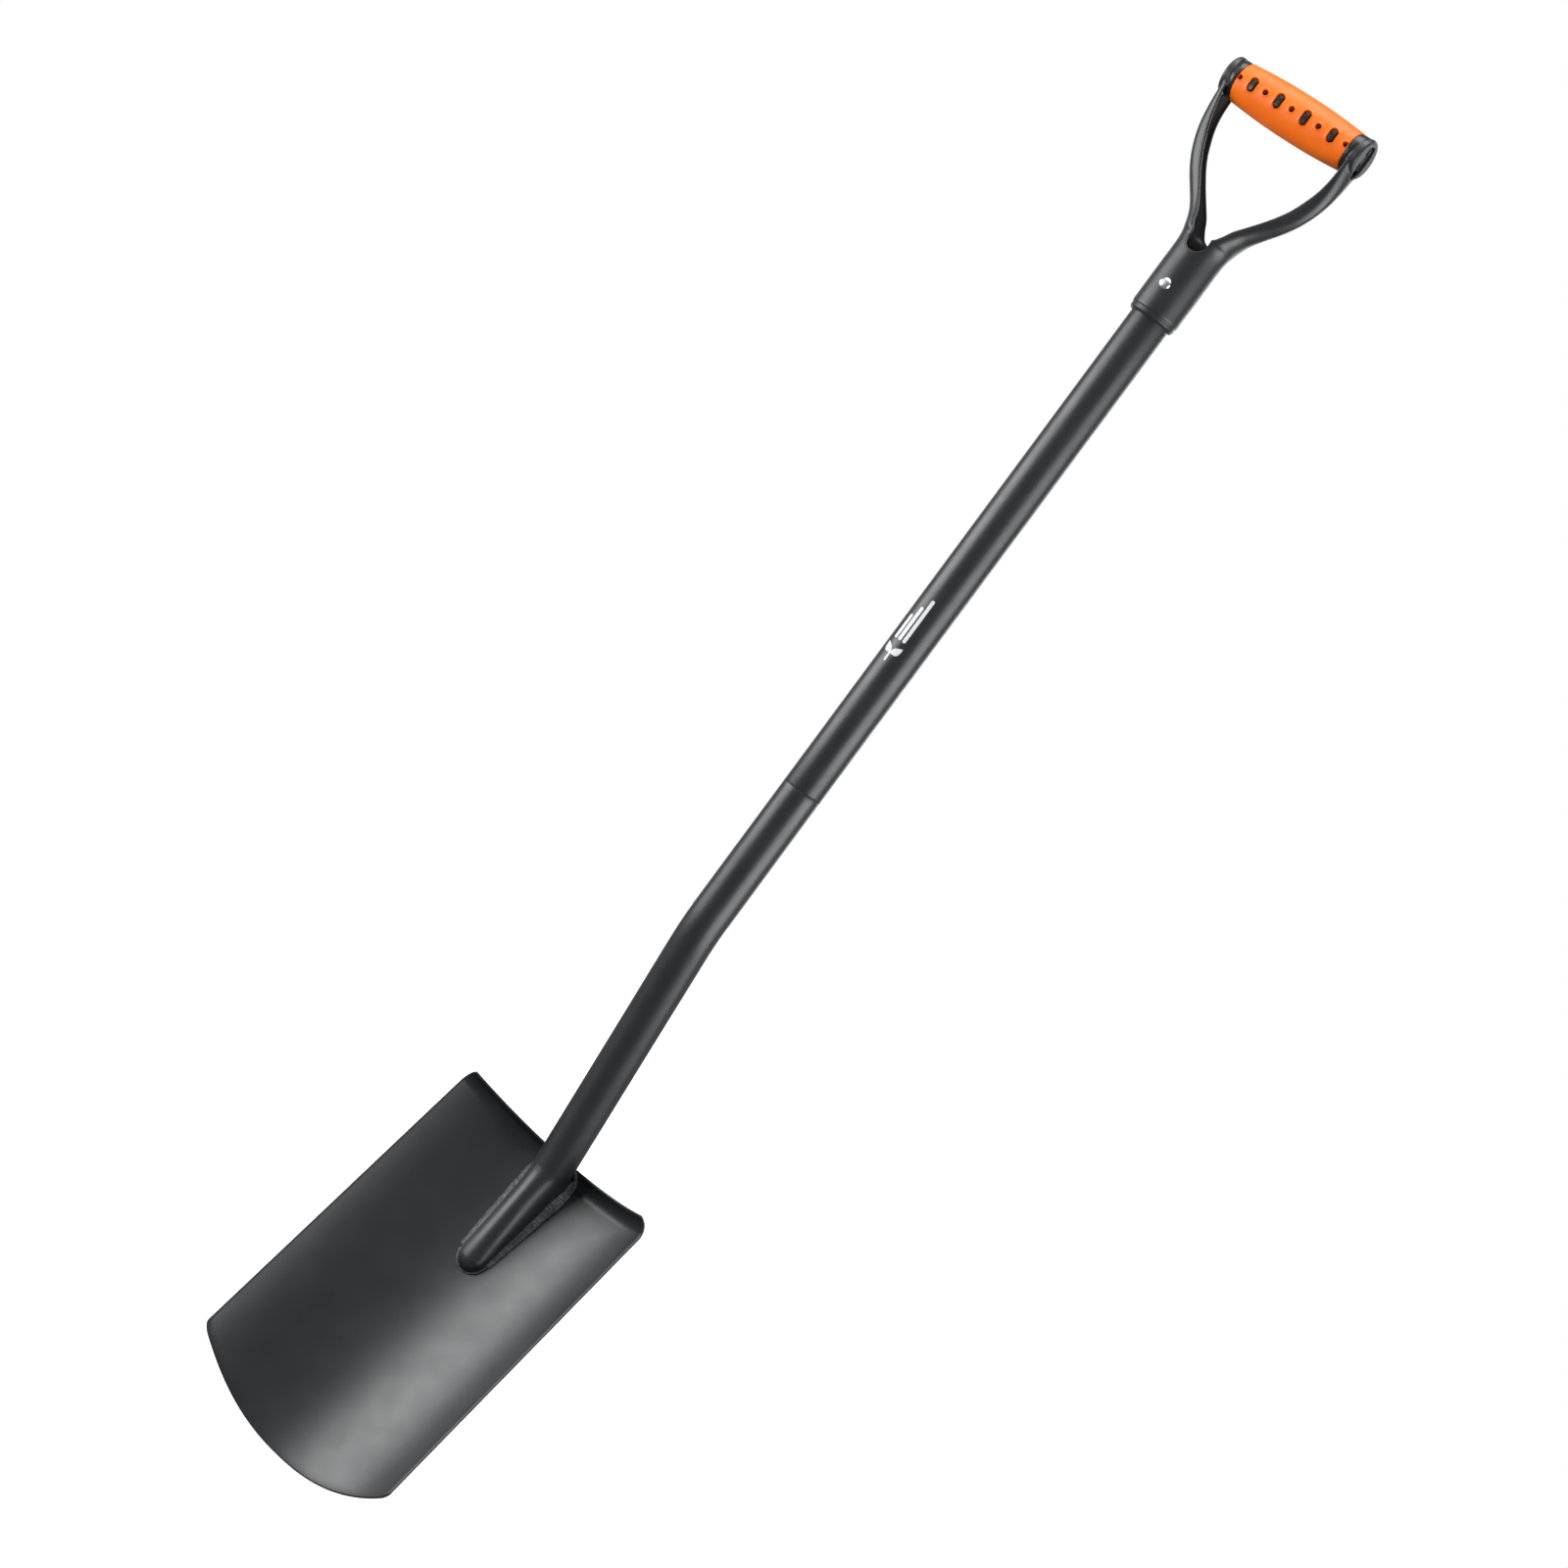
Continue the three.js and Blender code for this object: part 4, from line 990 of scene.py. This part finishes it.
def eye_recess(side):
    """Long recess in an eye's outer face, running on down the prong to a point."""
    outline = stadium(RECESS_HALF, RECESS_STRAIGHT)
    low = outline[:, 1] < -RECESS_STRAIGHT
    outline[low, 1] = -RECESS_STRAIGHT + (outline[low, 1] + RECESS_STRAIGHT) * 2.1
    floor = EYE_OUTER - RECESS_DEPTH

    def place(a, b, end):
        x = np.full(len(a), side * (floor + 8 * end))
        return np.stack([x, a - GRIP_LEAN, b + GRIP_HEIGHT + 0.6], -1)
    return prism("recess", outline, place)


def front_notch():
    """Round-bottomed cutter that deepens the notch through the front wall only."""
    half = NOTCH_RADIUS
    turn = np.linspace(math.pi, 2 * math.pi, 25)
    a = np.concatenate([[half], [-half], half * np.cos(turn)])
    b = np.concatenate([[3 * half], [3 * half], half + half * np.sin(turn)])

    def place(a, b, end):
        return np.stack([a, np.full(len(a), -2 - 24 * end), b + FRONT_NOTCH], -1)
    return prism("notch", np.stack([a, b], -1), place)


def round_cutter(name, radius, start, end, way):
    """Round cutter from start to end along X ("side") or Z ("up")."""
    points = turned_points([(0, start), (radius, start), (radius, end), (0, end)], 48)
    if way == "side":
        points = along_x(points)
    return make_object(name, points, grid_faces(4, 48, wrap_rows=True))


def rivet_dimple(side):
    """Shallow dish round a rivet head, pressed into the socket."""
    turn = np.linspace(-math.pi / 2, math.pi / 2, 25)
    outline = DIMPLE_BALL * np.stack([np.cos(turn), np.sin(turn)], -1)
    centre = side * (SOCKET_RADIUS + DIMPLE_BALL - DIMPLE_DEPTH)

    def place(points):
        return points + np.array([0, centre, RIVET_HEIGHT])
    return turned("dimple", outline, 64, place)


def cut_away(obj, cutter):
    """Takes the cutter's solid out of the object and deletes the cutter."""
    knife = obj.modifiers.new("cut", "BOOLEAN")
    knife.operation = "DIFFERENCE"
    knife.solver = "MANIFOLD"
    knife.object = cutter
    apply_modifiers(obj)
    bpy.data.objects.remove(cutter)


def fuse(obj, voxel, smoothing):
    """One even skin over overlapping solids, with its creases softened."""
    remesh = obj.modifiers.new("fuse", "REMESH")
    remesh.mode = "VOXEL"
    remesh.voxel_size = voxel * MM
    soft = obj.modifiers.new("soften", "SMOOTH")
    soft.factor = 0.5
    soft.iterations = smoothing
    apply_modifiers(obj)


def build_yoke():
    """Pressed sheet Y: solid outside fused first, then hollowed and softened."""
    voxel = 0.36
    bore = SOCKET_RADIUS - YOKE_SHEET
    socket = turned("socket", rounded([
        (0, SOCKET_BOTTOM, 0), (SOCKET_RADIUS - 2, SOCKET_BOTTOM, 0.5),
        (SOCKET_RADIUS - 0.5, SOCKET_BOTTOM + 2.2, 1.2),
        (SOCKET_RADIUS - 0.9, SOCKET_BOTTOM + 4.2, 0.4),
        (SOCKET_RADIUS, SOCKET_BOTTOM + 5.6, 0.9),
        (SOCKET_RADIUS, SOCKET_TOP, 0), (0, SOCKET_TOP, 0)]))
    outer = [socket]
    for side, _ in SIDES:
        outer += [prong(side, 0, 0, "prong"), eye_cup(side)]
    yoke = join(outer, "yoke_pressing")
    fuse(yoke, voxel, 6)
    cutters = [
        round_cutter("bore", bore, SOCKET_BOTTOM + 6, FRONT_NOTCH + 2.3, "up"),
        round_cutter("mouth", TUBE_RADIUS + 0.05, SOCKET_BOTTOM - 5, SOCKET_BOTTOM + 8, "up"),
        front_notch(),
        rivet_dimple(-1),
        rivet_dimple(1),
    ]
    for side, _ in SIDES:
        cutters += [
            prong(side, YOKE_SHEET, 2, "channel"),
            round_cutter("cup_bore", EYE_RADIUS - EYE_WALL, side * 42, side * EYE_INNER, "side"),
            eye_recess(side),
        ]
    hollow = join(cutters, "yoke_hollow")
    fuse(hollow, voxel, 1)
    cut_away(yoke, hollow)
    fuse(yoke, voxel, 9)
    tidy_mesh(yoke)
    yoke.data.set_sharp_from_angle(angle=math.pi)
    return finish_piece(yoke, POWDER_COAT, "handle_half", "powder_coat", "yoke")


def build_rivet():
    """Domed head in front and a flatter closed head behind."""
    heads = []
    seat = SOCKET_RADIUS - 0.7
    for side, (radius, height) in RIVET_HEADS.items():
        turn = np.linspace(0, math.pi / 2, 12)
        dome = np.stack([
            radius * np.cos(turn) ** 0.8, seat + 0.35 + height * np.sin(turn)], -1)
        outline = np.vstack([[(0.0, seat - 3), (3.0, seat - 3), (3.0, seat), (radius, seat)], dome])
        outline[-1, 0] = 0

        def place(points, side=side):
            x, y, z = points[..., 0], points[..., 1], points[..., 2]
            return np.stack([x, side * z, y + RIVET_HEIGHT], -1)
        heads.append(turned("head", outline, 48, place))
    rivet = join(heads, "rivet_heads")
    tidy_mesh(rivet)
    return finish_piece(rivet, ZINC, "handle_half", "zinc_plate", "yoke_rivet")


# ---- grip ----------------------------------------------------------------------------

def sleeve_radius(x):
    share = np.clip((np.abs(x) - SLEEVE_FLAT) / (SLEEVE_HALF - SLEEVE_FLAT), 0, 1)
    return SLEEVE_MID_RADIUS + (SLEEVE_END_RADIUS - SLEEVE_MID_RADIUS) * share ** 1.8


def window_distance(x, around):
    """Distance outside the nearest slot or dot of the grip, less than 0 inside."""
    nearest = np.full(np.broadcast(x, around).shape, 99.0)
    for step in (-1.5, -0.5, 0.5, 1.5):
        beyond = np.maximum(np.abs(around) - SLOT_STRAIGHT, 0)
        nearest = np.minimum(nearest, np.hypot(x - step * SLOT_PITCH, beyond) - SLOT_HALF)
    for step in (-2, -1, 0, 1, 2):
        nearest = np.minimum(nearest, np.hypot(x - step * SLOT_PITCH, around) - DOT_RADIUS)
    return nearest


def grip_angles(spacing):
    """Angles round the grip, close together across the band of slots in front."""
    front = math.radians(30)
    near = np.arange(-front, front, spacing / SLEEVE_MID_RADIUS)
    far = np.linspace(front, 2 * math.pi - front, 90, endpoint=False)
    return np.concatenate([near, far])


def wrapped(angles):
    return (angles + math.pi) % (2 * math.pi) - math.pi


def grip_points(x, radius, angles):
    """Points round the grip's axis, angle 0 in front and growing upward."""
    return np.stack([
        x, -GRIP_LEAN - radius * np.cos(angles), GRIP_HEIGHT + radius * np.sin(angles)], -1)


def build_sleeve():
    """Orange skin with sunk slots and dots, a raised lip round each and rounded ends."""
    spacing = 0.32
    edge = SLEEVE_HALF - SLEEVE_RIM
    x = np.linspace(-edge, edge, int(2 * SLEEVE_HALF / spacing))
    angles = grip_angles(spacing)
    distance = window_distance(x[:, None], wrapped(angles) * SLEEVE_MID_RADIUS)
    sunk = np.clip(-distance / 0.45 + 0.1, 0, 1)
    halo = 0.42 * np.exp(-np.square(np.clip(distance, 0, None) / 1.1)) * (distance > 0)
    radius = sleeve_radius(x)[:, None] - 3.6 * sunk ** 0.8 + halo
    rim_x = edge + np.array([0.35, 0.62, 0.76, SLEEVE_RIM, SLEEVE_RIM])
    rim_r = SLEEVE_END_RADIUS + 0.03 - np.array(
        [0.08, 0.3, 0.6, 1.0, SLEEVE_END_RADIUS - SLEEVE_BORE])
    rim_x = rim_x[:, None] + 0 * angles
    rim_r = rim_r[:, None] + 0 * angles
    rows_x = [-rim_x[::-1], x[:, None] + 0 * radius, rim_x]
    rows_r = [rim_r[::-1], radius, rim_r]
    points = grip_points(np.vstack(rows_x), np.vstack(rows_r), angles)
    sleeve = make_object(
        "grip_sleeve_skin", points, grid_faces(len(points), len(angles), wrap_rows=True))
    return finish_piece(sleeve, ORANGE, "handle_half", "orange_grip", "grip_sleeve")


def build_core():
    """Plastic core: end caps, and pads that stand in the sleeve's slots."""
    spacing = 0.32
    start = SLEEVE_HALF + 0.25
    end = EYE_INNER - 0.3
    neck = SLEEVE_END_RADIUS - 2.6
    x = np.linspace(2.5 - SLEEVE_HALF, SLEEVE_HALF - 2.5, int(2 * SLEEVE_HALF / spacing))
    angles = grip_angles(spacing)
    distance = window_distance(x[:, None], wrapped(angles) * SLEEVE_MID_RADIUS)
    pad = np.clip((-distance - 1.0) / 0.5, 0, 1)
    radius = sleeve_radius(x)[:, None] - 3.2 + 2.9 * np.sin(pad * math.pi / 2)
    cap = [(neck, SLEEVE_HALF - 1.5), (neck, start)]
    for a in np.linspace(0, math.pi / 2, 5):
        cap.append((
            FLANGE_RADIUS - FLANGE_ROUND * (1 - math.sin(a)),
            start + FLANGE_ROUND * (1 - math.cos(a))))
    cap += [
        (FLANGE_RADIUS, end - FLANGE_ROUND), (FLANGE_RADIUS - FLANGE_ROUND, end), (0.02, end)]
    cap_r, cap_x = np.array(cap).T[..., None] + 0 * angles
    rows_x = np.vstack([-cap_x[::-1], x[:, None] + 0 * angles, cap_x])
    rows_r = np.vstack([cap_r[::-1], radius, cap_r])
    core = skin("grip_core_caps", grip_points(rows_x, rows_r, angles))
    return finish_piece(core, BLACK_PLASTIC, "handle_half", "black_plastic", "grip_core")


def build_bar():
    """Grip bar, its ends peened over in the eyes' recesses."""
    seat = EYE_OUTER - RECESS_DEPTH - 0.2
    turn = np.linspace(0, math.pi / 2, 9)
    head = np.stack([
        BAR_HEAD_RADIUS * np.cos(turn) ** 0.7, seat + 0.3 + BAR_HEAD_HEIGHT * np.sin(turn)], -1)
    head[-1, 0] = 0
    step = np.array([(BAR_HEAD_RADIUS, seat), (BAR_RADIUS, seat)])
    outline = np.vstack([head[::-1] * [1, -1], step * [1, -1], step[::-1], head])
    bar = turned("grip_bar_ends", outline, 48, along_x)
    return finish_piece(bar, POWDER_COAT, "handle_half", "powder_coat", "grip_bar")


# ---- build ---------------------------------------------------------------------------

build_blade()
build_lower_tube()
for side, hand in SIDES:
    build_side_weld(side, "weld_bead_" + hand, "weld_" + hand)
build_toe_weld()
for side, hand in SIDES:
    build_tread_weld(side, "tread_bead_" + hand)
build_socket_thread()
build_plugs(-PLUG_DEPTH, "socket_plug", "blade_half")
build_washer()
build_stud()
build_plugs(PLUG_DEPTH, "stud_plug", "handle_half")
build_upper_tube()
build_mark()
build_yoke()
build_rivet()
build_sleeve()
build_core()
build_bar()


# ---- stage, lights and camera --------------------------------------------------------

def build_floor():
    """Plain pale disc under the blade's tip."""
    radius = 4.0
    turn = np.linspace(0, 2 * math.pi, 96, endpoint=False)
    rings = [np.stack([r * np.cos(turn), r * np.sin(turn), 0 * turn], -1)
             for r in (0.01, 0.3, 1.0, 2.0, radius)]
    mesh = bpy.data.meshes.new("floor")
    points = np.array(rings).reshape(-1, 3)
    points[:, 2] = cad_low.z - 0.0005
    faces = grid_faces(len(rings), len(turn))
    mesh.from_pydata(points.tolist(), [], faces)
    floor = bpy.data.objects.new("floor", mesh)
    bpy.context.scene.collection.objects.link(floor)
    shader = Shader("pale_floor")
    tone = shader.blend(shader.clouds(3, 2, 0, 1), (0.90, 0.90, 0.90), (0.93, 0.93, 0.93))
    away = shader.node("ShaderNodeVectorMath", operation="LENGTH")
    shader.link(shader.place, away.inputs[0])
    glow = shader.range(away.outputs["Value"], 0.1, 0.7, 0.55, 1.0)
    shader.set(Base_Color=tone, Roughness=0.9, Emission_Color=(1.0, 1.0, 1.0))
    shader.set(Emission_Strength=glow)
    mesh.materials.append(shader.material)
    floor.visible_glossy = False
    floor.visible_diffuse = False
    floor.visible_transmission = False
    floor.visible_shadow = False


def soft_box(name, azimuth, elevation, distance, width, height, radiance):
    """Area light at a bearing from the object's middle, facing it."""
    light = bpy.data.lights.new(name, "AREA")
    light.shape = "RECTANGLE"
    light.size = width
    light.size_y = height
    light.energy = 4 * radiance * width * height
    obj = bpy.data.objects.new(name, light)
    bpy.context.scene.collection.objects.link(obj)
    middle = (cad_low + cad_high) / 2
    a, e = math.radians(azimuth), math.radians(elevation)
    way = Vector((math.sin(a) * math.cos(e), -math.cos(a) * math.cos(e), math.sin(e)))
    obj.location = middle + way * distance
    obj.rotation_mode = "QUATERNION"
    obj.rotation_quaternion = way.to_track_quat("Z", "Y")
    obj.visible_camera = False


def build_world():
    """White to the camera, soft grey to everything else."""
    world = bpy.data.worlds.new("studio")
    bpy.context.scene.world = world
    world.use_nodes = True
    tree = world.node_tree
    seen = tree.nodes["Background"]
    seen.inputs["Color"].default_value = (1, 1, 1, 1)
    seen.inputs["Strength"].default_value = 1.0
    felt = tree.nodes.new("ShaderNodeBackground")
    felt.inputs["Color"].default_value = (0.96, 0.98, 1.0, 1)
    felt.inputs["Strength"].default_value = 0.20
    mix = tree.nodes.new("ShaderNodeMixShader")
    path = tree.nodes.new("ShaderNodeLightPath")
    tree.links.new(path.outputs["Is Camera Ray"], mix.inputs["Fac"])
    tree.links.new(felt.outputs["Background"], mix.inputs[1])
    tree.links.new(seen.outputs["Background"], mix.inputs[2])
    tree.links.new(mix.outputs["Shader"], tree.nodes["World Output"].inputs["Surface"])


def build_camera():
    """Camera at the photographed angle, rolled so that the tool lies corner to corner."""
    azimuth, elevation, roll = (math.radians(v) for v in (23.091, 4.422, 36.464))
    target = Vector(to_frame([-14.35, 0, -4.46])[0])
    distance = 2.4841
    back = Vector((
        math.sin(azimuth) * math.cos(elevation),
        -math.cos(azimuth) * math.cos(elevation),
        math.sin(elevation)))
    right = Vector((math.cos(azimuth), math.sin(azimuth), 0))
    up = back.cross(right)
    tilted_right = math.cos(roll) * right + math.sin(roll) * up
    tilted_up = math.cos(roll) * up - math.sin(roll) * right
    camera = bpy.data.cameras.new("camera")
    camera.lens = 81.64
    camera.sensor_width = 36
    camera.clip_start = 0.05
    camera.clip_end = 50
    obj = bpy.data.objects.new("camera", camera)
    bpy.context.scene.collection.objects.link(obj)
    turn = Matrix((tilted_right, tilted_up, back)).transposed()
    obj.matrix_world = Matrix.Translation(target + back * distance) @ turn.to_4x4()
    bpy.context.scene.camera = obj


build_floor()
build_world()
soft_box("box_right", 87, -4, 2.2, 2.0, 1.2, 5.2)
soft_box("box_left", -57, 5, 2.2, 1.9, 1.1, 6.4)
soft_box("box_left_high", -38, 46, 2.5, 1.9, 1.0, 0.9)
soft_box("box_above", 0, 80, 2.4, 2.6, 1.4, 3.8)
soft_box("box_behind", 178, 18, 2.6, 1.6, 2.4, 2.2)
soft_box("box_back_left", -138, 10, 2.6, 0.9, 2.6, 1.2)
build_camera()
bpy.context.scene.view_settings.view_transform = "Standard"
bpy.context.scene.view_settings.look = "None"
